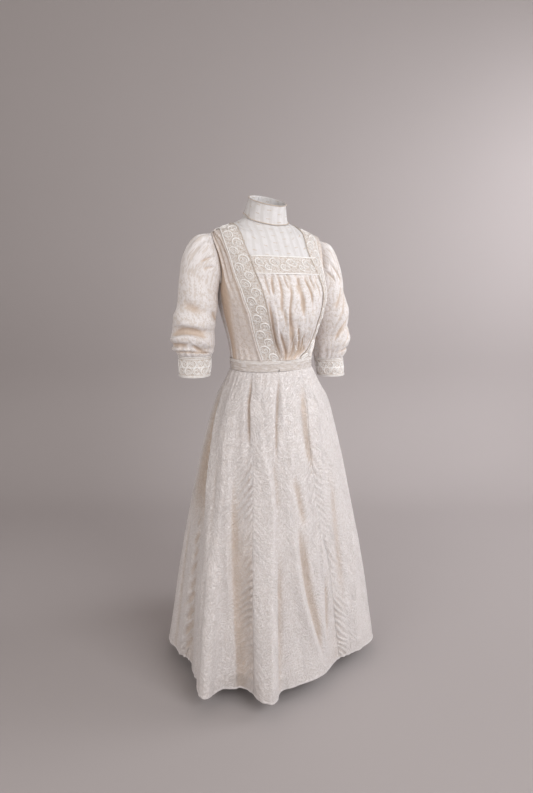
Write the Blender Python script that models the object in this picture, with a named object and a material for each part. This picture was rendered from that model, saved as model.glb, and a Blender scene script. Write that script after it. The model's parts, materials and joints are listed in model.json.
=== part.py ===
"""Silk dress with a net collar and yoke, embroidered bands and a seven-gore skirt.

It keeps the hollow form that it has when it is worn. Units are metres and +Z is up. The tables give
heights above the floor that the wearer stands on. The root empty lowers everything by SHOULDER_HEIGHT,
so the origin lies between the shoulders, where the dress hangs from its wearer. The front faces -Y.
Angles run round the body in degrees, 0 at the centre front and 90 at the wearer's left side (+X).
"""

import math

import bmesh
import bpy
from mathutils import Matrix, Vector

SHOULDER_HEIGHT = 1.43

SILK_WALL = 0.0016
NET_WALL = 0.0012
HEM_WALL = 0.0026
SEAM_GAP = 0.0003
SLEEVE_CLEARANCE = 0.003
PROBE = 0.0005

WAIST_TOP = 1.066
WAIST_SEAM = 1.034
NECKLINE_LOW = 1.322
NECKLINE_HIGH = 1.372
UNDERARM = 1.290
SHOULDER_TIP = 1.432
NECK_FRONT = 1.4605
NECK_SIDE = 1.492
NECK_BACK = 1.503
NECK_CURVE = 1.35
NECK_SHIFT, NECK_SHIFT_FROM = -0.006, 1.448

BODICE_TURN = math.radians(3.0)
BODICE_LEAN = math.tan(math.radians(-1.5))
SHOULDER_TILT = -0.030
BODICE_LENGTH = SHOULDER_TIP - WAIST_TOP
HEM_LEVEL = 0.052
HEM_DEPTH = 0.050
SKIRT_ROWS = 12


class Table:
    """Rows of named columns, read along a smooth curve at any value of the first column."""

    def __init__(self, names, rows):
        self.keys = [row[0] for row in rows]
        self.columns = {}
        for index, name in enumerate(names):
            values = [row[index] for row in rows]
            self.columns[name] = (values, self.slopes(values))

    def slopes(self, values):
        steps = [
            (values[i + 1] - values[i]) / (self.keys[i + 1] - self.keys[i])
            for i in range(len(values) - 1)
        ]
        inner = [
            2 * a * b / (a + b) if a * b > 0 else 0.0 for a, b in zip(steps, steps[1:])
        ]
        return [steps[0]] + inner + [steps[-1]]

    def at(self, name, key):
        values, slopes = self.columns[name]
        if key <= self.keys[0]:
            return values[0]
        if key >= self.keys[-1]:
            return values[-1]
        i = next(n for n, end in enumerate(self.keys[1:]) if key <= end)
        span = self.keys[i + 1] - self.keys[i]
        t = (key - self.keys[i]) / span
        smooth = t * t * (3 - 2 * t)
        level = values[i] + (values[i + 1] - values[i]) * smooth
        start_pull = slopes[i] * span * t * (1 - t) ** 2
        end_pull = slopes[i + 1] * span * t * t * (1 - t)
        return level + start_pull - end_pull


# Level sections through the worn bodice. squareness 2 is an ellipse.
TORSO = Table(
    ("height", "half_width", "front", "back", "centre_y", "squareness"),
    (
        (1.030, 0.134, 0.108, 0.104, 0.000, 2.0),
        (1.066, 0.135, 0.108, 0.104, 0.000, 2.0),
        (1.110, 0.139, 0.116, 0.104, 0.000, 2.1),
        (1.160, 0.149, 0.136, 0.108, 0.000, 2.25),
        (1.210, 0.160, 0.153, 0.113, 0.000, 2.4),
        (1.260, 0.167, 0.158, 0.118, 0.000, 2.5),
        (1.310, 0.170, 0.140, 0.122, 0.001, 2.4),
        (1.360, 0.175, 0.110, 0.118, 0.003, 2.3),
        (1.400, 0.181, 0.092, 0.104, 0.007, 2.2),
        (1.425, 0.183, 0.083, 0.090, 0.011, 2.1),
        (1.436, 0.178, 0.080, 0.084, 0.014, 2.0),
        (1.448, 0.153, 0.073, 0.076, 0.017, 2.0),
        (1.458, 0.126, 0.067, 0.070, 0.019, 2.0),
        (1.470, 0.095, 0.061, 0.065, 0.021, 2.0),
        (1.488, 0.061, 0.055, 0.058, 0.022, 2.0),
        (1.505, 0.057, 0.052, 0.055, 0.023, 2.0),
    ),
)

# Distances of the embroidered bands' edges from the centre line, in front and behind. The worn
# bodice is pulled to the wearer's left, where the vest's pouch lies over the band.
BAND_FRONT = Table(
    ("height", "inner_left", "outer_left", "inner_right", "outer_right"),
    (
        (1.066, 0.037, 0.088, 0.027, 0.077),
        (1.096, 0.078, 0.118, 0.038, 0.087),
        (1.130, 0.093, 0.131, 0.053, 0.099),
        (1.166, 0.099, 0.138, 0.067, 0.112),
        (1.205, 0.104, 0.144, 0.080, 0.124),
        (1.246, 0.110, 0.149, 0.091, 0.138),
        (1.285, 0.110, 0.150, 0.099, 0.146),
        (NECKLINE_LOW, 0.103, 0.148, 0.105, 0.152),
        (NECKLINE_HIGH, 0.092, 0.141, 0.109, 0.157),
        (1.400, 0.089, 0.140, 0.114, 0.162),
        (1.428, 0.090, 0.141, 0.116, 0.165),
        (1.465, 0.093, 0.142, 0.111, 0.157),
    ),
)
BAND_BACK = Table(
    ("height", "inner_left", "outer_left", "inner_right", "outer_right"),
    (
        (1.066, 0.026, 0.066, 0.026, 0.066),
        (1.160, 0.046, 0.088, 0.046, 0.088),
        (1.260, 0.070, 0.114, 0.070, 0.114),
        (1.360, 0.089, 0.136, 0.091, 0.140),
        (1.428, 0.092, 0.143, 0.110, 0.160),
        (1.465, 0.093, 0.142, 0.111, 0.157),
    ),
)
BAND_HEIGHTS = (
    WAIST_TOP, 1.096, 1.130, 1.166, 1.205, 1.246, 1.285, NECKLINE_LOW, NECKLINE_HIGH, 1.400, 1.428,
)
BAND_TOP = 1.465
RIDGE_STEPS = 4
LOW_ROW = BAND_HEIGHTS.index(NECKLINE_LOW)
HIGH_ROW = BAND_HEIGHTS.index(NECKLINE_HIGH)
PANEL_ROWS = len(BAND_HEIGHTS) + RIDGE_STEPS - 1
SIDE_SEAM_ROWS = 6
ARMHOLE_STEPS = PANEL_ROWS - SIDE_SEAM_ROWS
ARMHOLE_FRONT = 8.0
ARMHOLE_BACK = 24.0

# Raised folds on the bodice fronts. place and width are shares of the panel's breadth,
# and end is the share of its length, from the waist, at which the fold is let out.
TUCKS = (
    {"place": 0.07, "width": 0.075, "height": 0.0035, "end": -1.0},
    {"place": 0.56, "width": 0.085, "height": 0.0030, "end": 0.50},
)
BAND_LIFT = 0.0012
VEST_PUFF = 0.008
VEST_GATHERS = (
    {"count": 9, "height": 0.0032, "from_top": True, "reach": 0.55},
    {"count": 8, "height": 0.0042, "from_top": False, "reach": 0.60},
)

# Level sections through the skirt before its folds.
SKIRT = Table(
    ("height", "half_width", "front", "back"),
    (
        (0.050, 0.337, 0.264, 0.312),
        (0.170, 0.322, 0.256, 0.300),
        (0.260, 0.312, 0.250, 0.292),
        (0.400, 0.293, 0.240, 0.276),
        (0.540, 0.270, 0.226, 0.256),
        (0.730, 0.234, 0.202, 0.222),
        (0.830, 0.210, 0.184, 0.198),
        (0.930, 0.182, 0.158, 0.168),
        (0.980, 0.157, 0.136, 0.142),
        (1.034, 0.1335, 0.1075, 0.1035),
    ),
)

# The skirt's folds. Angles are at the waist and at the hem, depths in metres (outwards is positive)
# at hip, knee and hem, and the widths are degrees on the two sides of the crest.
SKIRT_FOLDS = (
    {
        "waist": -34, "hem": -22.5, "hip": 0.002, "knee": 0.007, "low": 0.050, "before": 7.2,
        "after": 6.4, "steepness": 3.4,
    },
    {"waist": -42, "hem": -37, "hip": -0.004, "knee": -0.006, "low": -0.012, "before": 9, "after": 6},
    {
        "waist": -72, "hem": -57, "hip": 0.004, "knee": 0.012, "low": 0.055, "before": 7.6,
        "after": 5.8, "steepness": 3.0,
    },
    {"waist": -98, "hem": -88, "hip": -0.010, "knee": -0.016, "low": -0.034, "before": 13, "after": 13},
    {"waist": -124, "hem": -117, "hip": 0.003, "knee": 0.012, "low": 0.034, "before": 13, "after": 12},
    {"waist": -150, "hem": -143, "hip": -0.002, "knee": -0.008, "low": -0.022, "before": 11, "after": 11},
    {"waist": -169, "hem": -166, "hip": 0.006, "knee": 0.014, "low": 0.036, "before": 10, "after": 10},
    {"waist": 168, "hem": 163, "hip": 0.006, "knee": 0.013, "low": 0.040, "before": 9, "after": 11},
    {"waist": 146, "hem": 139, "hip": -0.003, "knee": -0.009, "low": -0.020, "before": 12, "after": 11},
    {"waist": 122, "hem": 112, "hip": 0.003, "knee": 0.010, "low": 0.038, "before": 12, "after": 13},
    {"waist": 96, "hem": 86, "hip": -0.006, "knee": -0.010, "low": -0.024, "before": 13, "after": 12},
    {"waist": 62, "hem": 57, "hip": 0.004, "knee": 0.016, "low": 0.044, "before": 12, "after": 14},
    {"waist": 19, "hem": 26, "hip": -0.006, "knee": -0.009, "low": -0.024, "before": 10, "after": 10},
)

# Where the skirt's seams lie, in degrees, at shares of the way from the waist down to the hem.
SKIRT_SEAMS = Table(
    (
        "share", "back_middle", "back_right", "side_right", "front_right",
        "front_left", "side_left", "back_left", "back_end",
    ),
    (
        (0.00, -180, -142, -98.5, -47.8, 24.0, 84, 138, 180),
        (0.09, -180, -142, -96.5, -45.2, 18.0, 84, 138, 180),
        (0.22, -180, -142, -92.5, -38.4, 13.2, 84, 138, 180),
        (0.40, -180, -141, -88.0, -35.6, 12.8, 84, 138, 180),
        (0.62, -180, -141, -86.0, -33.2, 20.8, 84, 138, 180),
        (0.85, -180, -140, -88.2, -31.2, 26.0, 84, 138, 180),
        (1.00, -180, -140, -94.0, -30.2, 28.5, 84, 138, 180),
    ),
)
# Each gore with the seams that it lies between, and its columns of faces.
GORES = (
    ("skirt_back_right", "back_middle", "back_right", 8),
    ("skirt_side_back_right", "back_right", "side_right", 9),
    ("skirt_side_front_right", "side_right", "front_right", 20),
    ("skirt_front", "front_right", "front_left", 16),
    ("skirt_side_front_left", "front_left", "side_left", 10),
    ("skirt_side_back_left", "side_left", "back_left", 10),
    ("skirt_back_left", "back_left", "back_end", 8),
)

# Sections down each sleeve. x is the distance from the body's middle, and tilt is the section's
# lean in degrees: 90 stands upright beside the shoulder and 0 is level.
SLEEVE_NAMES = ("along", "x", "y", "z", "tilt", "across", "depth")
SLEEVE_RIGHT = Table(
    SLEEVE_NAMES,
    (
        (0.00, 0.176, 0.010, 1.361, 82, 0.072, 0.040),
        (0.10, 0.197, 0.018, 1.352, 68, 0.076, 0.050),
        (0.22, 0.213, 0.025, 1.327, 44, 0.071, 0.056),
        (0.36, 0.224, 0.028, 1.282, 24, 0.061, 0.060),
        (0.52, 0.230, 0.029, 1.230, 13, 0.060, 0.063),
        (0.68, 0.242, 0.030, 1.180, 8, 0.062, 0.065),
        (0.82, 0.249, 0.030, 1.133, 4, 0.064, 0.066),
        (0.93, 0.250, 0.030, 1.098, 2, 0.060, 0.060),
        (1.00, 0.247, 0.029, 1.0805, 0, 0.0470, 0.0470),
    ),
)
SLEEVE_LEFT = Table(
    SLEEVE_NAMES,
    (
        (0.00, 0.176, 0.006, 1.364, 82, 0.072, 0.046),
        (0.10, 0.194, 0.010, 1.350, 68, 0.074, 0.054),
        (0.22, 0.206, 0.014, 1.323, 44, 0.070, 0.060),
        (0.36, 0.219, 0.014, 1.272, 24, 0.062, 0.065),
        (0.52, 0.232, 0.015, 1.212, 13, 0.060, 0.068),
        (0.68, 0.240, 0.020, 1.154, 8, 0.061, 0.067),
        (0.82, 0.245, 0.024, 1.106, 4, 0.062, 0.066),
        (0.93, 0.245, 0.027, 1.066, 2, 0.057, 0.059),
        (1.00, 0.240, 0.028, 1.0405, 0, 0.0475, 0.0475),
    ),
)
# Crumples across the sleeves: along the sleeve, round it (0 outside, 90 in front), slant, size.
CRUMPLES_RIGHT = (
    {"along": 0.34, "round": 75, "slant": 0.05, "depth": -0.003, "breadth": 0.060, "spread": 60},
    {"along": 0.575, "round": 60, "slant": 0.04, "depth": -0.005, "breadth": 0.045, "spread": 65},
    {"along": 0.665, "round": 35, "slant": 0.06, "depth": 0.006, "breadth": 0.045, "spread": 85},
    {"along": 0.755, "round": 75, "slant": -0.02, "depth": -0.009, "breadth": 0.040, "spread": 70},
    {"along": 0.835, "round": 25, "slant": 0.03, "depth": 0.006, "breadth": 0.040, "spread": 90},
    {"along": 0.905, "round": 85, "slant": 0.01, "depth": -0.007, "breadth": 0.034, "spread": 65},
)
CRUMPLES_LEFT = (
    {"along": 0.44, "round": 60, "slant": 0.10, "depth": -0.005, "breadth": 0.055, "spread": 60},
    {"along": 0.58, "round": 55, "slant": 0.10, "depth": 0.005, "breadth": 0.050, "spread": 65},
    {"along": 0.71, "round": 60, "slant": 0.09, "depth": -0.007, "breadth": 0.045, "spread": 65},
    {"along": 0.83, "round": 45, "slant": 0.05, "depth": 0.005, "breadth": 0.040, "spread": 85},
)
HEAD_GATHERS = 15
HEAD_GATHER_HEIGHT = 0.0034
CUFF_GATHERS = 8
CUFF_GATHER_HEIGHT = 0.0022
# Rows down the sleeve, closest over the crumples.
SLEEVE_LEVELS = (
    0.0, 0.05, 0.10, 0.17, 0.26, 0.37, 0.48, 0.57, 0.63, 0.69, 0.75, 0.81, 0.87, 0.94, 1.0,
)
# Columns of faces for each step of the armhole, from the shoulder down: closest at the gathers.
SLEEVE_COLUMNS = (3, 3, 3, 2, 2, 1, 1, 1)

CUFF_DEPTH = 0.059
CUFF_TOP = 0.0475
CUFF_BOTTOM = 0.0445
CUFF_DROP = (0.006, -0.007)

COLLAR_TOP = {
    "half_width": 0.0545, "half_depth": 0.0560, "x": 0.012, "y": 0.010, "front": 1.519, "back": 1.558,
}
COLLAR_STEPS = 32


def smoothstep(low, high, value):
    """0 below low, 1 above high, and a soft step between."""
    t = min(max((value - low) / (high - low), 0.0), 1.0)
    return t * t * (3 - 2 * t)


def bump(offset, before, after, steepness=2):
    """A rounded crest, 1 at no offset, with its own width on each side."""
    return math.exp(-(abs(offset / (before if offset < 0 else after)) ** steepness))


def mix(a, b, share):
    return a + (b - a) * share


def power(value, exponent):
    """A power that keeps the sign."""
    return math.copysign(abs(value) ** exponent, value)


def torso(angle, height):
    """The point of the bodice's outer surface at an angle round the body and a height."""
    turn = math.radians(angle)
    exponent = 2 / TORSO.at("squareness", height)
    reach = TORSO.at("front" if abs(angle) <= 90 else "back", height)
    x = TORSO.at("half_width", height) * power(math.sin(turn), exponent)
    y = TORSO.at("centre_y", height) - reach * power(math.cos(turn), exponent)
    return Vector((x, y, height))


def collar(angle, share):
    """The stand collar, from its seam (0) to its top edge (1)."""
    foot = torso(angle, neck_seam(angle) + SEAM_GAP)
    turn = math.radians(angle)
    tilt = 0.5 - 0.5 * math.cos(turn)
    top = Vector((
        COLLAR_TOP["x"] + COLLAR_TOP["half_width"] * math.sin(turn),
        COLLAR_TOP["y"] - COLLAR_TOP["half_depth"] * math.cos(turn),
        mix(COLLAR_TOP["front"], COLLAR_TOP["back"], tilt),
    ))
    return foot.lerp(top, share)


def skirt_height(share):
    return mix(WAIST_SEAM - SEAM_GAP, HEM_LEVEL, share)


def fold_depth(angle, share):
    """How far the skirt's folds stand out at an angle, and a share of the way down to the hem."""
    total = 0.0
    for fold in SKIRT_FOLDS:
        crest = mix(fold["waist"], fold["hem"], share)
        offset = (angle - crest + 180) % 360 - 180
        hip_part = fold["hip"] * smoothstep(0.02, 0.12, share)
        knee_part = (fold["knee"] - fold["hip"]) * smoothstep(0.15, 0.65, share)
        low_share = smoothstep(0.35, 1.15, share) / smoothstep(0.35, 1.15, 1)
        low_part = (fold["low"] - fold["knee"]) * low_share
        spread = mix(1.5, 1.0, share)
        depth = hip_part + knee_part + low_part
        steepness = mix(2, fold.get("steepness", 2), low_share)
        total += depth * bump(offset, fold["before"] * spread, fold["after"] * spread, steepness)
    return total


def skirt(angle, share):
    """The skirt's outer surface, from the waistband's seam (0) to the hem (1)."""
    turn = math.radians(angle)
    height = skirt_height(share)
    reach = SKIRT.at("front" if abs(angle) <= 90 else "back", height)
    half_width = SKIRT.at("half_width", height)
    ring = Vector((half_width * math.sin(turn), -reach * math.cos(turn), height))
    out = Vector((math.sin(turn) / half_width, -math.cos(turn) / reach, 0)).normalized()
    return ring + out * fold_depth(angle, share)


def outwards(surface, a, b, step_a, step_b):
    """The direction straight out of a surface at one of its points."""
    along_a = surface(a + step_a, b) - surface(a - step_a, b)
    along_b = surface(a, b + step_b) - surface(a, b - step_b)
    return along_a.cross(along_b).normalized()


def torso_normal(angle, height):
    return outwards(torso, angle, height, 0.2, PROBE)


def neck_seam(angle):
    """Height of the collar's seam, lowest at the front."""
    quarter = abs(angle) / 90
    if quarter <= 1:
        return mix(NECK_FRONT, NECK_SIDE, quarter ** NECK_CURVE)
    return mix(NECK_BACK, NECK_SIDE, (2 - quarter) ** 2)


def ridge_height(half_width):
    """Height on the shoulder slope at which a section has this half width."""
    low, high = 1.425, 1.500
    for _ in range(40):
        middle = (low + high) / 2
        if TORSO.at("half_width", middle) > half_width:
            low = middle
        else:
            high = middle
    return low


def angle_at(x, height):
    """Angle in front at which a section is x wide of the centre line."""
    share = min(x / TORSO.at("half_width", height), 1.0)
    return math.degrees(math.asin(share ** (TORSO.at("squareness", height) / 2)))


def band_edge(table, edge):
    """Places (angle, height) up one edge of a band, from the waist to the shoulder's ridge."""
    places = []
    for height in BAND_HEIGHTS:
        places.append((angle_at(table.at(edge, height), height), height))
    last_angle, last_height = places[-1]
    last_x = table.at(edge, last_height)
    top_x = table.at(edge, BAND_TOP)
    for step in range(1, RIDGE_STEPS + 1):
        share = step / RIDGE_STEPS
        angle = mix(last_angle, 90, share)
        wide = mix(last_x, top_x, share) / math.sin(math.radians(angle))
        rise = ridge_height(wide)
        places.append((angle, rise))
    return places


def armhole(turn, reach):
    """Place (angle, height) on the armhole: 0 at the shoulder tip, 90 at its edge, 180 underneath."""
    middle = (SHOULDER_TIP + UNDERARM) / 2
    half = (SHOULDER_TIP - UNDERARM) / 2
    bend = math.radians(turn)
    return 90 - reach * math.sin(bend), middle + half * math.cos(bend)


def side_edge(reach):
    """Places up the side seam and on round one edge of the armhole to the shoulder tip."""
    places = []
    for row in range(SIDE_SEAM_ROWS):
        places.append((90.0, mix(WAIST_TOP, UNDERARM, row / SIDE_SEAM_ROWS)))
    for row in range(ARMHOLE_STEPS + 1):
        places.append(armhole(180 * (1 - row / ARMHOLE_STEPS), reach))
    return places


def mirrored(places):
    return [(-angle, height) for angle, height in places]


def behind(places):
    """The same places on the back."""
    return [(180 - angle, height) for angle, height in places]


def material(name, colour, roughness):
    made = bpy.data.materials.new(name)
    made.use_nodes = True
    shader = made.node_tree.nodes["Principled BSDF"]
    shader.inputs["Base Color"].default_value = (*colour, 1)
    shader.inputs["Roughness"].default_value = roughness
    shader.inputs["Metallic"].default_value = 0.0
    made.diffuse_color = (*colour, 1)
    return made


def cloth(name, columns, rows, place, finish, closed=False):
    """A wall of cloth: a grid laid on its outer points, then extruded to its inner points.

    place takes shares across and up the piece and gives its outer and its inner point.
    """
    mesh = bmesh.new()
    across = mesh.verts.layers.float.new("across")
    up = mesh.verts.layers.float.new("up")
    bmesh.ops.create_grid(mesh, x_segments=columns, y_segments=rows, size=0.5)
    for vert in mesh.verts:
        vert[across] = round((vert.co.x + 0.5) * columns) / columns
        vert[up] = round((vert.co.y + 0.5) * rows) / rows
    for vert in mesh.verts:
        vert.co = place(vert[across], vert[up])[0]
    if closed:
        bmesh.ops.remove_doubles(mesh, verts=mesh.verts, dist=0.00001)
    bmesh.ops.triangulate(mesh, faces=mesh.faces, quad_method="FIXED")
    pushed = bmesh.ops.extrude_face_region(mesh, geom=mesh.faces)["geom"]
    for item in pushed:
        if isinstance(item, bmesh.types.BMVert):
            item.co = place(item[across], item[up])[1]
    bmesh.ops.triangulate(mesh, faces=[face for face in mesh.faces if len(face.verts) > 3])
    bmesh.ops.recalc_face_normals(mesh, faces=mesh.faces)
    data = bpy.data.meshes.new(name)
    mesh.to_mesh(data)
    mesh.free()
    data.shade_smooth()
    data.set_sharp_from_angle(angle=math.radians(50))
    data.materials.append(finish)
    return add(bpy.data.objects.new(name, data))


def add(obj):
    """Puts a piece in the dress's collection, under the root, with its mesh in the wearer's frame."""
    DRESS.objects.link(obj)
    obj.parent = ROOT
    return obj


def posed(point):
    """Bodice points with the wearer's slight turn, lean and shoulder tilt above the waist."""
    above = max(point.z - WAIST_TOP, 0.0)
    turned = Matrix.Rotation(BODICE_TURN, 3, "Z") @ point
    turned.z += turned.x * SHOULDER_TILT * above / BODICE_LENGTH
    turned.x += BODICE_LEAN * above + NECK_SHIFT * smoothstep(NECK_SHIFT_FROM, NECK_SIDE, point.z)
    return turned


def panel(name, left, right, columns, finish, raised=None):
    """A piece of the bodice between two edges, each a list of places with one for each row."""
    rows = len(left) - 1

    def place(u, v):
        row = round(v * rows)
        start, end = left[row], right[row]
        width = max((torso(*start) - torso(*end)).length, 0.001)
        inset = SEAM_GAP / 2 / width
        share = mix(inset, 1 - inset, u)
        angle, height = mix(start[0], end[0], share), mix(start[1], end[1], share)
        if row in (0, rows):
            near = 1 if row == 0 else rows - 1
            start, end = left[near], right[near]
            other = mix(start[0], end[0], share), mix(start[1], end[1], share)
            back_off = SEAM_GAP / 2 / max((torso(*other) - torso(angle, height)).length, 0.001)
            angle, height = mix(angle, other[0], back_off), mix(height, other[1], back_off)
        lift = raised(share, v, angle, height) if raised else 0.0
        normal = torso_normal(angle, height)
        point = torso(angle, height)
        return posed(point + normal * lift), posed(point + normal * (lift - SILK_WALL))

    return cloth(name, columns, rows, place, finish)


def net_yoke(name, edges, side, columns, finish):
    """The net between the bands and the collar. side is 0 for the front, 1 or -1 for a back half."""
    rows = len(edges[0])
    seam = NECK_BACK if side else NECK_FRONT
    low = edges[0][0][1]

    def spot(turn, row):
        edge_angle, edge_height = (edges[0] if turn < 0 else edges[-1])[min(row, rows - 1)]
        if row == rows:
            angle = 90 * turn
            return angle, neck_seam(180 - angle if side else angle) - SEAM_GAP / 2
        reach = abs(torso(edge_angle, edge_height).x)
        share = abs(math.sin(math.radians(edge_angle * turn)) / math.sin(math.radians(edge_angle)))
        height = mix(mix(low, seam, row / rows), edge_height, share * share)
        angle = edge_angle if share > 0.9999 else angle_at(share * reach, height)
        return math.copysign(angle, turn), height + (SEAM_GAP / 2 if row == 0 else 0)

    def place(u, v):
        row = round(v * rows)
        turn = side * u if side > 0 else (u - 1 if side else 2 * u - 1)
        angle, height = spot(turn, row)
        if u in (0.0, 1.0):
            inner = spot(turn + (0.03 if u == 0 else -0.03), row)
            share = SEAM_GAP / (torso(*inner) - torso(angle, height)).length
            angle, height = mix(angle, inner[0], share), mix(height, inner[1], share)
        if side:
            angle = 180 - angle
        normal = torso_normal(angle, height)
        point = torso(angle, height)
        return posed(point), posed(point - normal * NET_WALL)

    return cloth(name, columns, rows, place, finish)


def tuck_height(share, v, angle, height):
    """The two tucks of a bodice front, sharp on the side away from the centre."""
    total = 0.0
    for tuck in TUCKS:
        held = smoothstep(tuck["end"] - 0.10, tuck["end"] + 0.15, v)
        offset = share - tuck["place"]
        shape = bump(offset, tuck["width"] * 1.1, tuck["width"] * 0.7)
        total += tuck["height"] * held * shape
    return total * (1 - smoothstep(0.93, 1.0, v) * 0.6)


def vest_height(share, v, angle, height):
    """The vest's fullness: gathers at both ends and a soft pouch above the waist."""
    side = 2 * share - 1
    rim = 1 - side ** 4
    total = VEST_PUFF * rim * math.sin(math.pi * smoothstep(0, 1, v) ** 0.7)
    for gather in VEST_GATHERS:
        depth = 1 - v if gather["from_top"] else v
        fade = 1 - smoothstep(0.0, gather["reach"], depth)
        wave = 0.5 - 0.5 * math.cos(2 * math.pi * gather["count"] * share)
        total += gather["height"] * fade * wave * rim
    crease = bump(side + 0.04, 0.05, 0.05)
    return total - 0.003 * crease * math.sin(math.pi * v)


def gore(name, first_seam, last_seam, columns, finish):
    """One gore of the skirt, with a thicker wall where the hem is turned up."""
    rise = WAIST_SEAM - HEM_LEVEL

    def row_share(v):
        """Rows run up from the hem: closer at the hem's fold and at the hip."""
        down = 1 - v
        return mix(down, 0.5 - 0.5 * math.cos(math.pi * down), 0.35)

    def place(u, v):
        share = row_share(v)
        start, end = SKIRT_SEAMS.at(first_seam, share), SKIRT_SEAMS.at(last_seam, share)
        width = (skirt(start, share) - skirt(end, share)).length
        inset = SEAM_GAP / 2 / max(width, 0.01)
        angle = mix(start, end, mix(inset, 1 - inset, u))
        normal = outwards(skirt, angle, share, 0.3, 0.002)
        turned_up = smoothstep(1 - 1.3 * HEM_DEPTH / rise, 1 - 0.9 * HEM_DEPTH / rise, share)
        wall = mix(SILK_WALL, HEM_WALL, turned_up)
        point = skirt(angle, share)
        inside = point + normal * wall
        if share in (0.0, 1.0):
            inside.z = point.z
        return point, inside

    return cloth(name, columns, SKIRT_ROWS, place, finish)


def sleeve_path(table, along):
    names = SLEEVE_NAMES[1:]
    return {name: table.at(name, along) for name in names}


def side_reach(y, height):
    """How far from the centre line the bodice's side lies at a depth and a height."""
    depth = y - TORSO.at("centre_y", height)
    share = abs(depth) / TORSO.at("front" if depth < 0 else "back", height)
    bend = TORSO.at("squareness", height)
    return TORSO.at("half_width", height) * max(1 - share ** bend, 0.0) ** (1 / bend)


def crumple_size(crumples, turn, along):
    total = 0.0
    for fold in crumples:
        off_round = (turn - fold["round"] + 180) % 360 - 180
        off_along = along - fold["along"] - fold["slant"] * off_round / 90
        spread = bump(off_round, fold["spread"], fold["spread"])
        total += fold["depth"] * bump(off_along, fold["breadth"], fold["breadth"]) * spread
    return total * smoothstep(1.0, 0.93, along)


def gather_size(turn, along):
    """Gathers round the top of the sleeve's head, and all round above the cuff."""
    bend = math.radians(turn)
    head = smoothstep(0.02, 0.09, along) * (1 - smoothstep(0.16, 0.42, along))
    head *= smoothstep(-0.25, 0.35, math.cos(bend))
    foot = smoothstep(0.80, 0.95, along) * smoothstep(1.0, 0.97, along)
    size = HEAD_GATHER_HEIGHT * head * math.cos(bend * HEAD_GATHERS)
    return size + CUFF_GATHER_HEIGHT * foot * math.cos(bend * CUFF_GATHERS)


def sleeve_surface(table, crumples, turn, along):
    """A point of a left-hand sleeve. turn is 0 outside the arm, 90 in front and 180 inside."""
    at = sleeve_path(table, along)
    bend = math.radians(turn)
    tilt = math.radians(at["tilt"])
    outside = Vector((math.cos(tilt), 0, math.sin(tilt)))
    front = Vector((0, -1, 0))
    size = crumple_size(crumples, turn, along) + gather_size(turn, along)
    centre = Vector((at["x"], at["y"], at["z"]))
    across = outside * math.cos(bend) * (at["across"] + size)
    point = centre + across + front * math.sin(bend) * (at["depth"] + size)
    if along < 0.10:
        point = sleeve_start(turn).lerp(point, smoothstep(-0.01, 0.10, along))
    in_front = smoothstep(0.0, 0.03, at["y"] - point.y)
    gap = mix(SEAM_GAP, SLEEVE_CLEARANCE + TUCKS[0]["height"] * in_front, smoothstep(0.0, 0.1, along))
    point.x = max(point.x, side_reach(point.y, point.z) + gap)
    return point


def sleeve_start(turn):
    """The sleeve's edge in the armhole, a seam's gap inside the bodice's edge."""
    steps = ARMHOLE_STEPS
    place_in = (turn % 360) / 180 * steps
    if place_in > steps:
        place_in = 2 * steps - place_in
        sign = -1
    else:
        sign = 1
    low = min(int(place_in + 0.0001), steps - 1)
    part = place_in - low
    ends = []
    for index in (low, low + 1):
        angle, height = armhole(180 * index / steps, ARMHOLE_FRONT if sign > 0 else ARMHOLE_BACK)
        if sign < 0:
            angle = 180 - angle
        ends.append(torso(angle, height))
    point = ends[0].lerp(ends[1], part)
    middle = torso(90, (SHOULDER_TIP + UNDERARM) / 2)
    inwards = Vector((0, middle.y - point.y, middle.z - point.z)).normalized()
    return point + inwards * SEAM_GAP * 1.5 + Vector((SEAM_GAP, 0, 0))


def sleeve_turns():
    """Turns of the sleeve's columns: whole steps of the armhole, divided evenly."""
    step = 180 / ARMHOLE_STEPS
    half = []
    for index, parts in enumerate(SLEEVE_COLUMNS):
        half += [step * (index + part / parts) for part in range(parts)]
    return half + [180.0] + [360 - turn for turn in reversed(half[1:])]


def sleeve(name, table, crumples, side, finish):
    turns = sleeve_turns()
    columns = len(turns)
    rows = len(SLEEVE_LEVELS) - 1

    def surface(turn, along):
        return sleeve_surface(table, crumples, turn, along)

    def place(u, v):
        turn = turns[round(u * columns) % columns]
        v = SLEEVE_LEVELS[round(v * rows)]
        point = surface(turn, v)
        low, high = max(v - 0.004, 0.0), min(v + 0.004, 1.0)
        round_way = surface(turn + 1.5, v) - surface(turn - 1.5, v)
        down_way = surface(turn, high) - surface(turn, low)
        normal = round_way.cross(down_way).normalized()
        at = sleeve_path(table, v)
        centre = Vector((at["x"], at["y"], at["z"]))
        if normal.dot(point - centre) < 0:
            normal = -normal
        if v < 0.001:
            normal = Vector((0, point.y - centre.y, point.z - centre.z)).normalized()
        inside = point - normal * SILK_WALL
        if v > 0.999:
            point.z += SEAM_GAP
            inside.z = point.z
        flip = Vector((side, 1, 1))
        return posed(point * flip), posed(inside * flip)

    return cloth(name, columns, rows, place, finish, closed=True)


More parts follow.
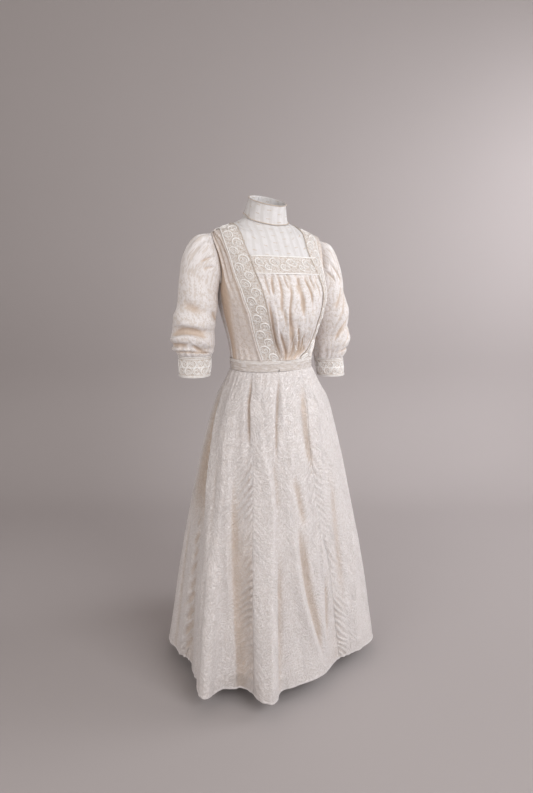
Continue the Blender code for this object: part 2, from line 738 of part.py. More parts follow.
def cuff(name, table, side, finish):
    """A straight cuff with a piped edge at its top and bottom."""
    top = sleeve_path(table, 1.0)
    rows = 4

    def place(u, v):
        turn = 2 * math.pi * (u % 1.0)
        down = 1 - v
        centre = Vector((
            side * (top["x"] + CUFF_DROP[0] * down),
            top["y"] + CUFF_DROP[1] * down,
            top["z"] - SEAM_GAP - CUFF_DEPTH * down,
        ))
        radius = mix(CUFF_TOP, CUFF_BOTTOM, down) + 0.0012
        if round(v * rows) in (0, 1, rows - 1, rows):
            radius += 0.0008
        way = Vector((math.cos(turn), math.sin(turn), 0))
        return posed(centre + way * radius), posed(centre + way * (mix(CUFF_TOP, CUFF_BOTTOM, down) - 0.0008))

    return cloth(name, 24, rows, place, finish, closed=True)


def ring_wall(name, surface, start, end, columns, rows, wall, finish, raised=0.0):
    """A wall round the body between two angles of a surface that runs from 0 to 1 upwards."""

    def place(u, v):
        angle = mix(start, end, u)
        point = surface(angle, v)
        inner_share = min(max(v, 0.01), 0.99)
        normal = outwards(surface, angle, inner_share, 0.3, 0.005)
        outer, inside = point + normal * raised, point + normal * (raised - wall)
        if v in (0.0, 1.0):
            inside.z = outer.z
        return posed(outer), posed(inside)

    return cloth(name, columns, rows, place, finish)


def waistband_surface(angle, share):
    """The waistband, which dips a little at the front."""
    height = mix(WAIST_SEAM + SEAM_GAP, WAIST_TOP - SEAM_GAP, share)
    flat = torso(angle, WAIST_TOP)
    return Vector((flat.x, flat.y, height))


def cord(name, route, radius, finish):
    """A cord or piping along a closed or open route."""
    curve = bpy.data.curves.new(name, "CURVE")
    curve.dimensions = "3D"
    curve.bevel_depth = radius
    curve.bevel_resolution = 1
    curve.use_fill_caps = True
    line = curve.splines.new("POLY")
    line.points.add(len(route) - 1)
    for point, target in zip(line.points, route):
        point.co = (*target, 1)
    curve.materials.append(finish)
    return add(bpy.data.objects.new(name, curve))


def neck_cord(name, share, radius, lift, finish):
    """A cord round the collar, open by a hair at the centre back."""
    route = []
    for step in range(COLLAR_STEPS + 1):
        angle = mix(-178.5, 178.5, step / COLLAR_STEPS)
        normal = outwards(collar, angle, min(max(share, 0.01), 0.99), 0.3, 0.005)
        route.append(posed(collar(angle, share) + normal * lift))
    return cord(name, route, radius, finish)


def lap(name, surface, levels, finish, half=4.5, lift=0.0008, wall=0.0012):
    """A lap down the centre back, made from its surface's points moved out."""
    rows = len(levels) - 1

    def place(u, v):
        angle = 180 + mix(-half, half, u)
        level = levels[round(v * rows)]
        normal = outwards(surface, angle, level, 0.3, 0.0005)
        point = surface(angle, level)
        return posed(point + normal * (lift + wall)), posed(point + normal * lift)

    return cloth(name, 2, rows, place, finish)


def bodice(silk, net, lace, trim):
    side, side_behind = side_edge(ARMHOLE_FRONT), behind(side_edge(ARMHOLE_BACK))
    fronts = []
    for word, sign, turned in (("left", 1, list), ("right", -1, mirrored)):
        inner, outer = (band_edge(BAND_FRONT, f"{edge}_{word}") for edge in ("inner", "outer"))
        inner_back, outer_back = (
            band_edge(BAND_BACK, f"{edge}_{word}") for edge in ("inner", "outer")
        )
        whole_inner = turned(inner + behind(inner_back)[-2::-1])
        whole_outer = turned(outer + behind(outer_back)[-2::-1])
        low_back = behind(inner_back[: HIGH_ROW + 1])
        middle = [(180.0, height) for _, height in low_back]
        panel(f"band_{word}", whole_inner, whole_outer, 2, lace, raised=band_height)
        panel(f"side_front_{word}", turned(outer), turned(side), 10, silk, raised=tuck_height)
        panel(f"side_back_{word}", turned(behind(outer_back)), turned(side_behind), 4, silk)
        panel(f"centre_back_{word}", turned(middle), turned(low_back), 3, silk)
        net_yoke(f"yoke_back_{word}", [inner_back[HIGH_ROW:]], sign, 5, net)
        fronts.append(inner)
    left, right = fronts
    low = slice(0, LOW_ROW + 1)
    across = slice(LOW_ROW, HIGH_ROW + 1)
    panel("vest", mirrored(right[low]), left[low], 28, silk, raised=vest_height)
    panel("neckline_band", mirrored(right[across]), left[across], 14, lace, raised=band_height)
    net_yoke("yoke_front", [right[HIGH_ROW:], left[HIGH_ROW:]], 0, 14, net)
    neckline_piping(-right[LOW_ROW][0], left[LOW_ROW][0], trim)
    back_placket(silk)


def band_height(share, v, angle, height):
    """The bands lie a little proud of the net and the silk beside them."""
    return BAND_LIFT


def neckline_piping(start, end, trim):
    """Piping along the lower edge of the band across the neckline."""
    level = NECKLINE_LOW + 0.0016
    route = []
    for step in range(15):
        angle = mix(start, end, mix(0.03, 0.97, step / 14))
        route.append(posed(torso(angle, level) + torso_normal(angle, level) * (BAND_LIFT + 0.0016)))
    cord("neckline_piping", route, 0.0011, trim)


def back_placket(silk):
    """The lap that closes the centre back, on the same rows as the panels under it."""
    yoke_rows = len(BAND_HEIGHTS) - HIGH_ROW + RIDGE_STEPS
    levels = [WAIST_TOP + SEAM_GAP] + list(BAND_HEIGHTS[1 : HIGH_ROW + 1])
    levels += [mix(NECKLINE_HIGH, NECK_BACK, row / yoke_rows) for row in range(1, yoke_rows)]
    lap("back_placket", torso, levels + [NECK_BACK - 0.002], silk)


def neck(net, trim):
    ring_wall("collar", collar, -179.8, 179.8, COLLAR_STEPS, 2, NET_WALL, net)
    neck_cord("collar_top_cord", 0.975, 0.0016, 0.0021, trim)
    neck_cord("collar_base_cord", 0.04, 0.0016, 0.0024, trim)
    lap("collar_lap", collar, (0.10, 0.50, 0.90), net, half=8)


def waist(silk, trim):
    ring_wall("waistband", waistband_surface, -179.9, 179.9, 40, 1, SILK_WALL, silk, raised=BAND_LIFT)
    lap("waistband_lap", waistband_surface, (0.04, 0.76), silk, lift=BAND_LIFT + 0.0006)
    route = []
    for step in range(41):
        angle = mix(-179, 179, step / 40)
        edge = waistband_surface(angle, 0.88)
        out = outwards(waistband_surface, angle, 0.5, 0.3, 0.005)
        route.append(posed(edge + out * (BAND_LIFT + 0.0017)))
    cord("waist_piping", route, 0.0012, trim)


def build():
    silk = material("ivory_silk", (0.78, 0.71, 0.62), 0.55)
    net = material("ivory_net", (0.83, 0.79, 0.73), 0.75)
    lace = material("ivory_embroidery", (0.76, 0.70, 0.61), 0.70)
    trim = material("ivory_cord", (0.74, 0.66, 0.55), 0.65)
    neck(net, trim)
    bodice(silk, net, lace, trim)
    waist(silk, trim)
    for word, table, crumples, side in (
        ("left", SLEEVE_LEFT, CRUMPLES_LEFT, 1),
        ("right", SLEEVE_RIGHT, CRUMPLES_RIGHT, -1),
    ):
        sleeve(f"sleeve_{word}", table, crumples, side, silk)
        cuff(f"cuff_{word}", table, side, lace)
    for row in GORES:
        gore(*row, silk)


for old in list(bpy.data.objects):
    bpy.data.objects.remove(old)
DRESS = bpy.data.collections.new("Wedding dress")
bpy.context.scene.collection.children.link(DRESS)
ROOT = bpy.data.objects.new("worn_at_shoulders", None)
ROOT.location = (0, 0, -SHOULDER_HEIGHT)
DRESS.objects.link(ROOT)
build()
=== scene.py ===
"""Finishes a silk dress: its cloth, folds, gathers, embroidery, net, cords, and its studio.

The tables repeat the part's own, in metres and in heights above the floor. ORIGIN is taken off at
the end, so that the dress's origin lies between the shoulders. Angles run round the dress in
degrees, 0 at the centre front and 90 at its left side (+X).
"""

import json
import math

import bmesh
import bpy
import numpy as np
from bpy.props import FloatProperty, FloatVectorProperty, PointerProperty
from mathutils import Vector
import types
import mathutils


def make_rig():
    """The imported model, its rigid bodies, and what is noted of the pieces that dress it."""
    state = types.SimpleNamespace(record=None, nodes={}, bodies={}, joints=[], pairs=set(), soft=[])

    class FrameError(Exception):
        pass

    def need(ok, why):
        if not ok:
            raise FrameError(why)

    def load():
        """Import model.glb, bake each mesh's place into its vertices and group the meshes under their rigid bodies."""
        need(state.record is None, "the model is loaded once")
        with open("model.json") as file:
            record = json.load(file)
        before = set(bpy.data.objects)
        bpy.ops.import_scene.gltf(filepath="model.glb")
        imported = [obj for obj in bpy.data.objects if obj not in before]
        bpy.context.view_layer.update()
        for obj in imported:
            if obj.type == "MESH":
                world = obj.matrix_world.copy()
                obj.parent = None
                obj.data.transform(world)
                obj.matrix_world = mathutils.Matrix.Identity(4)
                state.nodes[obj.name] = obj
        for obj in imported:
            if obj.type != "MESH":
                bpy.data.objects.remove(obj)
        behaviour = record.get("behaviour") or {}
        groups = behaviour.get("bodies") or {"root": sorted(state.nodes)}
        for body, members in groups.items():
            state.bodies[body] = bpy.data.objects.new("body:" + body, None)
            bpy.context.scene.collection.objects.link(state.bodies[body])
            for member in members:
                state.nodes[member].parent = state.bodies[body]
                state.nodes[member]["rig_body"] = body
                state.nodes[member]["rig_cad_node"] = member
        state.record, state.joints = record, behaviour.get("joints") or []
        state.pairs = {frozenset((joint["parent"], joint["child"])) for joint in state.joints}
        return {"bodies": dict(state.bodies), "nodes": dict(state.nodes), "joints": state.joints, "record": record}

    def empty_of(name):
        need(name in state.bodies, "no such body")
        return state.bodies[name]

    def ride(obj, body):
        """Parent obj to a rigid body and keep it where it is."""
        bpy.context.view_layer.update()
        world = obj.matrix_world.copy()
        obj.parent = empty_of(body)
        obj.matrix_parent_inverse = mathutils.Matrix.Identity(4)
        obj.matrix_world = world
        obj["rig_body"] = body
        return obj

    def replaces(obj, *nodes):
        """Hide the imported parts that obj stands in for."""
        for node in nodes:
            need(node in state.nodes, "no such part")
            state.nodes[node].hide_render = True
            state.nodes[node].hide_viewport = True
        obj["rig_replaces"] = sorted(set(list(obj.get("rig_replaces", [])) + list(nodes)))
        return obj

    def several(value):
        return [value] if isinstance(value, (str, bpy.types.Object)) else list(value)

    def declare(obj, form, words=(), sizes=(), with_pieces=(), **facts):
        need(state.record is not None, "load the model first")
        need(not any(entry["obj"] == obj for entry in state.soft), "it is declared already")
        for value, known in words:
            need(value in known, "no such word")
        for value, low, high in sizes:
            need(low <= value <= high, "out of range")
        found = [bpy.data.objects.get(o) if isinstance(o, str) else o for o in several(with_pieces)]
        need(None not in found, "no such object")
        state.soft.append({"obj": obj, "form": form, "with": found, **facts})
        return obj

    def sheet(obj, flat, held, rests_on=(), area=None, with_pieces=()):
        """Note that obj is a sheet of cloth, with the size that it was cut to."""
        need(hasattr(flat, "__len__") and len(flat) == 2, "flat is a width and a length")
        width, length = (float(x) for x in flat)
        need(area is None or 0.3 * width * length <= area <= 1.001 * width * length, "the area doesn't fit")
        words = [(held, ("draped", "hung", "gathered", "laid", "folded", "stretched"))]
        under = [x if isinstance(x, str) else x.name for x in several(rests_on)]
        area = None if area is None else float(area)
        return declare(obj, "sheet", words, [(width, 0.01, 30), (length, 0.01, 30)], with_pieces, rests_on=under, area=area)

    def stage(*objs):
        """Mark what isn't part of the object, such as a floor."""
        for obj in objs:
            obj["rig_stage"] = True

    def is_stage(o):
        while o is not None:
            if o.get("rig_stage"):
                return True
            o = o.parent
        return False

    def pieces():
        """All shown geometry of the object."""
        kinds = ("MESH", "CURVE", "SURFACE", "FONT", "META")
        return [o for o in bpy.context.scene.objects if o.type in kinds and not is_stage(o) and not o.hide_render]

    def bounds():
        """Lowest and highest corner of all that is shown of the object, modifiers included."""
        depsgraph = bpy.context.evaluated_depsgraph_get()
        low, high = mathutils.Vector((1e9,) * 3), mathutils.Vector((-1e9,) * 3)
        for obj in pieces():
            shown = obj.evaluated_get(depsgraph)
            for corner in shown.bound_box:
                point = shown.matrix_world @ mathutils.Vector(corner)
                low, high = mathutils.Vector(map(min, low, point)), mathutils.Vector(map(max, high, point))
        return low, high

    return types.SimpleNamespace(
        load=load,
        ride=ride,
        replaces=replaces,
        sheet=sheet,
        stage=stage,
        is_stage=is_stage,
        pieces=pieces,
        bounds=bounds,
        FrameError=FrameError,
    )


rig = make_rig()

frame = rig.load()
CAD_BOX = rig.bounds()

bl_info = {
    "name": "Silk wedding dress",
    "version": (1, 0, 0),
    "blender": (4, 5, 0),
    "location": "3D View > Sidebar > Dress",
    "description": "Makes the cloth, net, embroidery and cords of a silk dress, and its studio",
    "category": "Object",
}

SIDES = (("left", 1), ("right", -1))
SHOULDER_HEIGHT = 1.43
ORIGIN = np.array((0, 0, SHOULDER_HEIGHT))
SEAM_GAP = 0.0003
WAIST_TOP = 1.066
WAIST_SEAM = 1.034
NECKLINE_LOW = 1.322
NECKLINE_HIGH = 1.372
UNDERARM = 1.290
SHOULDER_TIP = 1.432
ARMHOLE_MIDDLE = (SHOULDER_TIP + UNDERARM) / 2
NECK_FRONT = 1.4605
NECK_SIDE = 1.492
NECK_BACK = 1.503
NECK_CURVE = 1.35
NECK_SHIFT, NECK_SHIFT_FROM = -0.006, 1.448
BODICE_TURN = math.radians(3.0)
BODICE_LEAN = math.tan(math.radians(-1.5))
SHOULDER_TILT = -0.030
BODICE_LENGTH = SHOULDER_TIP - WAIST_TOP
HEM_LEVEL = 0.052
HEM_DEPTH = 0.050
# Half the breadth of each lap at the centre back, in degrees.
LAP_ANGLE = 4.5
COLLAR_LAP_ANGLE = 8
# Rows and columns of the random field that every soft relief is drawn from.
FIELD_SIZE = 64


def smoothstep(low, high, value):
    """0 below low, 1 above high, and a soft step between."""
    t = np.clip((value - low) / (high - low), 0.0, 1.0)
    return t * t * (3 - 2 * t)


def crest(offset, before, after, steepness=2):
    """A rounded crest, 1 at no offset, with its own width on each side."""
    return np.exp(-(np.abs(offset / np.where(offset < 0, before, after)) ** steepness))


def off_edges(share, breadth):
    """1 well between the two edges of a piece, and softly 0 at them."""
    return smoothstep(0, breadth, share) * smoothstep(1, 1 - breadth, share)


def mix(a, b, share):
    """A value part of the way from a to b."""
    return a + (b - a) * share


def power(value, exponent):
    """A power that keeps the sign."""
    return np.sign(value) * np.abs(value) ** exponent


def places(x, y, z):
    """Points from their three parts, each of which may be one number for all."""
    return np.stack(np.broadcast_arrays(x, y, z), axis=-1).astype(float)


def unit(vectors):
    """The same directions, each one long."""
    return vectors / np.maximum(np.linalg.norm(vectors, axis=-1, keepdims=True), 1e-9)


def waves(x, y, seed, around=FIELD_SIZE):
    """Soft uneven waves between -1 and 1, about one for each unit of x and of y.

    They start again after around units of x.
    """
    field = np.random.default_rng(seed).uniform(-1, 1, (FIELD_SIZE, FIELD_SIZE))
    x, y = np.broadcast_arrays(x, y)
    column, row = np.floor(x).astype(int), np.floor(y).astype(int)
    s, t = x - column, y - row
    s, t = s * s * s * (s * (6 * s - 15) + 10), t * t * t * (t * (6 * t - 15) + 10)
    near, far = column % around, (column + 1) % around
    row, above = row % FIELD_SIZE, (row + 1) % FIELD_SIZE
    low = mix(field[near, row], field[far, row], s)
    high = mix(field[near, above], field[far, above], s)
    return mix(low, high, t)


class Table:
    """Rows of named columns, read along a smooth curve at any value of the first column."""

    def __init__(self, names, rows):
        self.keys = np.array([row[0] for row in rows], float)
        self.columns = {}
        for index, name in enumerate(names):
            values = np.array([row[index] for row in rows], float)
            steps = np.diff(values) / np.diff(self.keys)
            product = steps[:-1] * steps[1:]
            total = np.where(product > 0, steps[:-1] + steps[1:], 1.0)
            inner = np.where(product > 0, 2 * product / total, 0.0)
            self.columns[name] = (values, np.concatenate(([steps[0]], inner, [steps[-1]])))

    def at(self, name, key):
        """A column's value where the first column is key."""
        values, slopes = self.columns[name]
        key = np.clip(key, self.keys[0], self.keys[-1])
        i = np.clip(np.searchsorted(self.keys, key, side="left") - 1, 0, len(self.keys) - 2)
        span = self.keys[i + 1] - self.keys[i]
        t = (key - self.keys[i]) / span
        level = values[i] + (values[i + 1] - values[i]) * t * t * (3 - 2 * t)
        return level + slopes[i] * span * t * (1 - t) ** 2 - slopes[i + 1] * span * t * t * (1 - t)


# Level sections through the worn bodice. squareness 2 is an ellipse.
TORSO = Table(
    ("height", "half_width", "front", "back", "centre_y", "squareness"),
    (
        (1.030, 0.134, 0.108, 0.104, 0.000, 2.0),
        (1.066, 0.135, 0.108, 0.104, 0.000, 2.0),
        (1.110, 0.139, 0.116, 0.104, 0.000, 2.1),
        (1.160, 0.149, 0.136, 0.108, 0.000, 2.25),
        (1.210, 0.160, 0.153, 0.113, 0.000, 2.4),
        (1.260, 0.167, 0.158, 0.118, 0.000, 2.5),
        (1.310, 0.170, 0.140, 0.122, 0.001, 2.4),
        (1.360, 0.175, 0.110, 0.118, 0.003, 2.3),
        (1.400, 0.181, 0.092, 0.104, 0.007, 2.2),
        (1.425, 0.183, 0.083, 0.090, 0.011, 2.1),
        (1.436, 0.178, 0.080, 0.084, 0.014, 2.0),
        (1.448, 0.153, 0.073, 0.076, 0.017, 2.0),
        (1.458, 0.126, 0.067, 0.070, 0.019, 2.0),
        (1.470, 0.095, 0.061, 0.065, 0.021, 2.0),
        (1.488, 0.061, 0.055, 0.058, 0.022, 2.0),
        (1.505, 0.057, 0.052, 0.055, 0.023, 2.0),
    ),
)

# Distances of the embroidered bands' edges from the centre line, in front and behind. The bodice is
# pulled to its left, where the vest's pouch lies over the band.
BAND_FRONT = Table(
    ("height", "inner_left", "outer_left", "inner_right", "outer_right"),
    (
        (1.066, 0.037, 0.088, 0.027, 0.077),
        (1.096, 0.078, 0.118, 0.038, 0.087),
        (1.130, 0.093, 0.131, 0.053, 0.099),
        (1.166, 0.099, 0.138, 0.067, 0.112),
        (1.205, 0.104, 0.144, 0.080, 0.124),
        (1.246, 0.110, 0.149, 0.091, 0.138),
        (1.285, 0.110, 0.150, 0.099, 0.146),
        (NECKLINE_LOW, 0.103, 0.148, 0.105, 0.152),
        (NECKLINE_HIGH, 0.092, 0.141, 0.109, 0.157),
        (1.400, 0.089, 0.140, 0.114, 0.162),
        (1.428, 0.090, 0.141, 0.116, 0.165),
        (1.465, 0.093, 0.142, 0.111, 0.157),
    ),
)
BAND_BACK = Table(
    ("height", "inner_left", "outer_left", "inner_right", "outer_right"),
    (
        (1.066, 0.026, 0.066, 0.026, 0.066),
        (1.160, 0.046, 0.088, 0.046, 0.088),
        (1.260, 0.070, 0.114, 0.070, 0.114),
        (1.360, 0.089, 0.136, 0.091, 0.140),
        (1.428, 0.092, 0.143, 0.110, 0.160),
        (1.465, 0.093, 0.142, 0.111, 0.157),
    ),
)
BAND_HEIGHTS = (
    WAIST_TOP, 1.096, 1.130, 1.166, 1.205, 1.246, 1.285, NECKLINE_LOW, NECKLINE_HIGH, 1.400, 1.428,
)
BAND_TOP = 1.465
# Steps from the last of these heights to the ridge of the shoulder.
RIDGE_STEPS = 4
LOW_ROW = BAND_HEIGHTS.index(NECKLINE_LOW)
HIGH_ROW = BAND_HEIGHTS.index(NECKLINE_HIGH)
PANEL_ROWS = len(BAND_HEIGHTS) + RIDGE_STEPS - 1
SIDE_SEAM_ROWS = 6
ARMHOLE_STEPS = PANEL_ROWS - SIDE_SEAM_ROWS
# How far the armhole reaches in front of and behind the side, in degrees.
ARMHOLE_FRONT = 8.0
ARMHOLE_BACK = 24.0
BAND_LIFT = 0.0012

# Level sections through the skirt before its folds.
SKIRT = Table(
    ("height", "half_width", "front", "back"),
    (
        (0.050, 0.337, 0.264, 0.312),
        (0.170, 0.322, 0.256, 0.300),
        (0.260, 0.312, 0.250, 0.292),
        (0.400, 0.293, 0.240, 0.276),
        (0.540, 0.270, 0.226, 0.256),
        (0.730, 0.234, 0.202, 0.222),
        (0.830, 0.210, 0.184, 0.198),
        (0.930, 0.182, 0.158, 0.168),
        (0.980, 0.157, 0.136, 0.142),
        (1.034, 0.1335, 0.1075, 0.1035),
    ),
)

# The skirt's deep folds. Angles at the waist and at the hem, depths at hip, knee and hem (outwards is
# positive), the width in degrees before and after the crest, and how steep its sides are at the hem.
SKIRT_FOLDS = (
    (-34, -22.5, 0.002, 0.007, 0.050, 7.2, 6.4, 3.4),
    (-42, -37, -0.004, -0.006, -0.012, 9, 6, 2),
    (-72, -57, 0.004, 0.012, 0.055, 7.6, 5.8, 3.0),
    (-98, -88, -0.010, -0.016, -0.034, 13, 13, 2),
    (-124, -117, 0.003, 0.012, 0.034, 13, 12, 2),
    (-150, -143, -0.002, -0.008, -0.022, 11, 11, 2),
    (-169, -166, 0.006, 0.014, 0.036, 10, 10, 2),
    (168, 163, 0.006, 0.013, 0.040, 9, 11, 2),
    (146, 139, -0.003, -0.009, -0.020, 12, 11, 2),
    (122, 112, 0.003, 0.010, 0.038, 12, 13, 2),
    (96, 86, -0.006, -0.010, -0.024, 13, 12, 2),
    (62, 57, 0.004, 0.016, 0.044, 12, 14, 2),
    (19, 26, -0.006, -0.009, -0.024, 10, 10, 2),
)

# Where the skirt's seams lie, in degrees, at shares of the way from the waist down to the hem.
SEAM_NAMES = (
    "back_middle", "back_right", "side_right", "front_right", "front_left", "side_left", "back_left",
    "back_end",
)
SKIRT_SEAMS = Table(
    ("share", *SEAM_NAMES),
    (
        (0.00, -180, -142, -98.5, -47.8, 24.0, 84, 138, 180),
        (0.09, -180, -142, -96.5, -45.2, 18.0, 84, 138, 180),
        (0.22, -180, -142, -92.5, -38.4, 13.2, 84, 138, 180),
        (0.40, -180, -141, -88.0, -35.6, 12.8, 84, 138, 180),
        (0.62, -180, -141, -86.0, -33.2, 20.8, 84, 138, 180),
        (0.85, -180, -140, -88.2, -31.2, 26.0, 84, 138, 180),
        (1.00, -180, -140, -94.0, -30.2, 28.5, 84, 138, 180),
    ),
)
# Each gore with the seams that it lies between, and how strongly each of them puckers.
GORES = (
    ("skirt_back_right", "back_middle", "back_right", 0.4, 0.5),
    ("skirt_side_back_right", "back_right", "side_right", 0.5, 1.6),
    ("skirt_side_front_right", "side_right", "front_right", 0.7, 2.1),
    ("skirt_front", "front_right", "front_left", 0.5, 1.2),
    ("skirt_side_front_left", "front_left", "side_left", 1.3, 0.5),
    ("skirt_side_back_left", "side_left", "back_left", 0.6, 0.6),
    ("skirt_back_left", "back_left", "back_end", 0.5, 0.4),
)

# Lighter creases of the skirt: the line each follows as shares down and angles, its depth (outwards
# is positive) and its width before and after the line. Those behind are like those in front.
SKIRT_CREASES = (
    (((0.01, -48.6), (0.08, -46.6), (0.14, -43.8), (0.22, -41.2)), -0.0095, 0.0065, 0.0030),
    (((0.00, -53.5), (0.09, -51.0), (0.18, -47.5), (0.30, -44.5)), 0.0047, 0.012, 0.006),
    (((0.00, -11.4), (0.08, -16.0), (0.17, -18.2), (0.27, -18.8)), -0.0068, 0.0045, 0.0050),
    (((0.01, -8.0), (0.08, -11.6), (0.18, -13.6)), 0.0034, 0.006, 0.008),
    (((0.03, 20.4), (0.12, 12.8), (0.21, 11.2), (0.32, 12.6)), -0.0076, 0.015, 0.010),
    (((0.03, 38.0), (0.15, 27.2), (0.22, 23.8), (0.36, 21.0), (0.46, 20.6)), 0.0060, 0.009, 0.014),
    (((0.18, -31.5), (0.26, -27.8), (0.33, -23.8), (0.42, -21.4), (0.56, -21.4)), 0.0073, 0.016, 0.006),
    (((0.24, -22.5), (0.33, -19.0), (0.44, -17.0)), -0.0039, 0.006, 0.012),
    (((0.30, -6.0), (0.37, -2.4), (0.48, 1.6)), -0.0060, 0.010, 0.012),
    (((0.44, -8.0), (0.52, -6.5), (0.68, -3.2), (0.82, 3.4), (0.93, 9.2)), 0.0095, 0.0170, 0.0050),
    (((0.46, -3.4), (0.52, -2.2), (0.68, 1.4), (0.82, 7.4), (0.93, 12.2)), -0.0104, 0.0065, 0.0190),
    (((0.50, -21.6), (0.74, -21.9), (1.00, -21.4)), 0.0078, 0.012, 0.006),
    (((0.52, -16.8), (0.74, -16.4), (1.00, -16.6)), -0.0060, 0.007, 0.011),
    (((0.52, -58.8), (0.70, -56.5), (0.86, -54.7), (1.00, -54.5)), 0.0060, 0.013, 0.008),
    (((0.56, -66.0), (0.78, -63.4), (1.00, -61.0)), -0.0052, 0.010, 0.010),
    (((0.20, -59.5), (0.38, -54.5), (0.52, -52.6), (0.70, -48.4), (0.92, -43.0)), 0.0052, 0.016, 0.006),
    (((0.30, -53.0), (0.46, -49.4), (0.60, -46.4), (0.76, -43.0), (1.00, -38.8)), -0.0075, 0.007, 0.024),
    (((0.15, -67.0), (0.38, -60.5), (0.56, -59.0)), 0.0039, 0.010, 0.013),
    (((0.22, -72.5), (0.42, -66.5), (0.60, -64.0)), -0.0039, 0.012, 0.010),
    (((0.20, -6.0), (0.36, -9.5), (0.52, -11.0)), 0.0034, 0.010, 0.008),
    (((0.42, 12.8), (0.54, 15.2), (0.64, 14.6)), 0.0057, 0.006, 0.007),
    (((0.52, 9.6), (0.62, 9.8), (0.74, 11.4)), 0.0047, 0.008, 0.007),
    (((0.70, 21.0), (0.80, 21.4), (0.90, 20.4)), 0.0052, 0.006, 0.006),
    (((0.66, 17.0), (0.76, 17.6), (0.88, 17.4)), -0.0047, 0.007, 0.008),
    (((0.80, 14.0), (0.88, 13.6), (0.96, 14.6)), 0.0039, 0.008, 0.008),
    (((0.46, 50.5), (0.66, 47.2), (0.84, 44.2), (1.00, 43.5)), 0.0057, 0.014, 0.016),
    (((0.30, 33.0), (0.52, 32.0), (0.80, 34.5)), -0.0044, 0.016, 0.014),
    (((0.06, 62.0), (0.30, 58.0), (0.62, 55.0)), 0.0039, 0.014, 0.016),
    (((0.10, 78.0), (0.36, 72.0), (0.70, 69.0), (1.00, 68.0)), -0.0052, 0.014, 0.012),
    (((0.40, 96.0), (0.66, 92.0), (1.00, 90.0)), 0.0049, 0.014, 0.010),
    (((0.01, 113.0), (0.12, 109.0), (0.24, 106.0)), -0.0073, 0.006, 0.010),
    (((0.03, 118.0), (0.30, 112.0), (0.60, 108.0)), 0.0049, 0.008, 0.014),
    (((0.50, 122.0), (0.78, 117.0), (1.00, 116.0)), -0.0057, 0.014, 0.008),
    (((0.04, 156.0), (0.34, 151.0), (0.70, 148.0)), 0.0055, 0.012, 0.008),
    (((0.01, 151.0), (0.14, 147.5), (0.28, 145.5)), -0.0070, 0.010, 0.006),
    (((0.10, 170.0), (0.46, 168.0), (1.00, 166.0)), 0.0055, 0.007, 0.012),
    (((0.03, -172.0), (0.30, -170.0), (0.62, -169.0)), 0.0055, 0.012, 0.007),
    (((0.06, -158.0), (0.40, -155.0), (0.96, -152.0)), -0.0060, 0.014, 0.008),
    (((0.01, -133.0), (0.14, -130.5), (0.26, -128.5)), -0.0070, 0.010, 0.006),
    (((0.03, -128.0), (0.34, -124.0), (0.66, -121.0)), 0.0055, 0.008, 0.012),
    (((0.46, -112.0), (0.72, -108.0), (1.00, -106.0)), -0.0052, 0.012, 0.014),
    (((0.01, -101.0), (0.09, -97.0), (0.18, -93.0), (0.29, -85.5), (0.48, -78.6)), -0.0117, 0.026, 0.006),
    (((0.01, -96.5), (0.09, -92.5), (0.18, -88.5), (0.29, -81.5), (0.48, -75.0)), 0.0073, 0.006, 0.020),
    (((0.470, -88.0), (0.492, -91.8), (0.522, -95.0)), -0.0042, 0.0070, 0.0130),
    (((0.525, -88.0), (0.557, -93.5), (0.600, -98.0)), -0.0056, 0.0070, 0.0130),
    (((0.580, -88.0), (0.606, -92.4), (0.640, -96.0)), -0.0046, 0.0070, 0.0130),
    (((0.630, -88.0), (0.668, -94.6), (0.720, -100.0)), -0.0066, 0.0070, 0.0130),
    (((0.690, -88.0), (0.719, -93.0), (0.757, -97.0)), -0.0050, 0.0070, 0.0130),
    (((0.735, -88.0), (0.777, -95.2), (0.833, -101.0)), -0.0070, 0.0070, 0.0130),
    (((0.795, -88.0), (0.827, -93.5), (0.870, -98.0)), -0.0058, 0.0070, 0.0130),
    (((0.850, -88.0), (0.888, -94.6), (0.940, -100.0)), -0.0064, 0.0070, 0.0130),
    (((0.905, -88.0), (0.931, -92.4), (0.965, -96.0)), -0.0046, 0.0070, 0.0130),
    (((0.56, -97.0), (0.80, -98.0), (1.00, -99.0)), 0.0052, 0.012, 0.012),
    (((0.56, -76.5), (0.78, -72.5), (1.00, -70.5)), 0.0047, 0.012, 0.008),
)

# The front edge of the recess under the right sleeve, behind which its shade is painted.
RECESS_EDGE = Table(
    ("share", "angle"),
    ((0.0, -108), (0.03, -106), (0.09, -100), (0.18, -93.5), (0.29, -84.5), (0.41, -77.7), (0.56, -76)),
)

# Where the trough between the two front lobes begins, down to the seam beside it; painted shade fills it.
HOLLOW_EDGE = Table(
    ("share", "angle"), ((0.0, -56), (0.51, -51.1), (0.70, -46.0), (0.90, -41.1), (1.0, -39.0)),
)

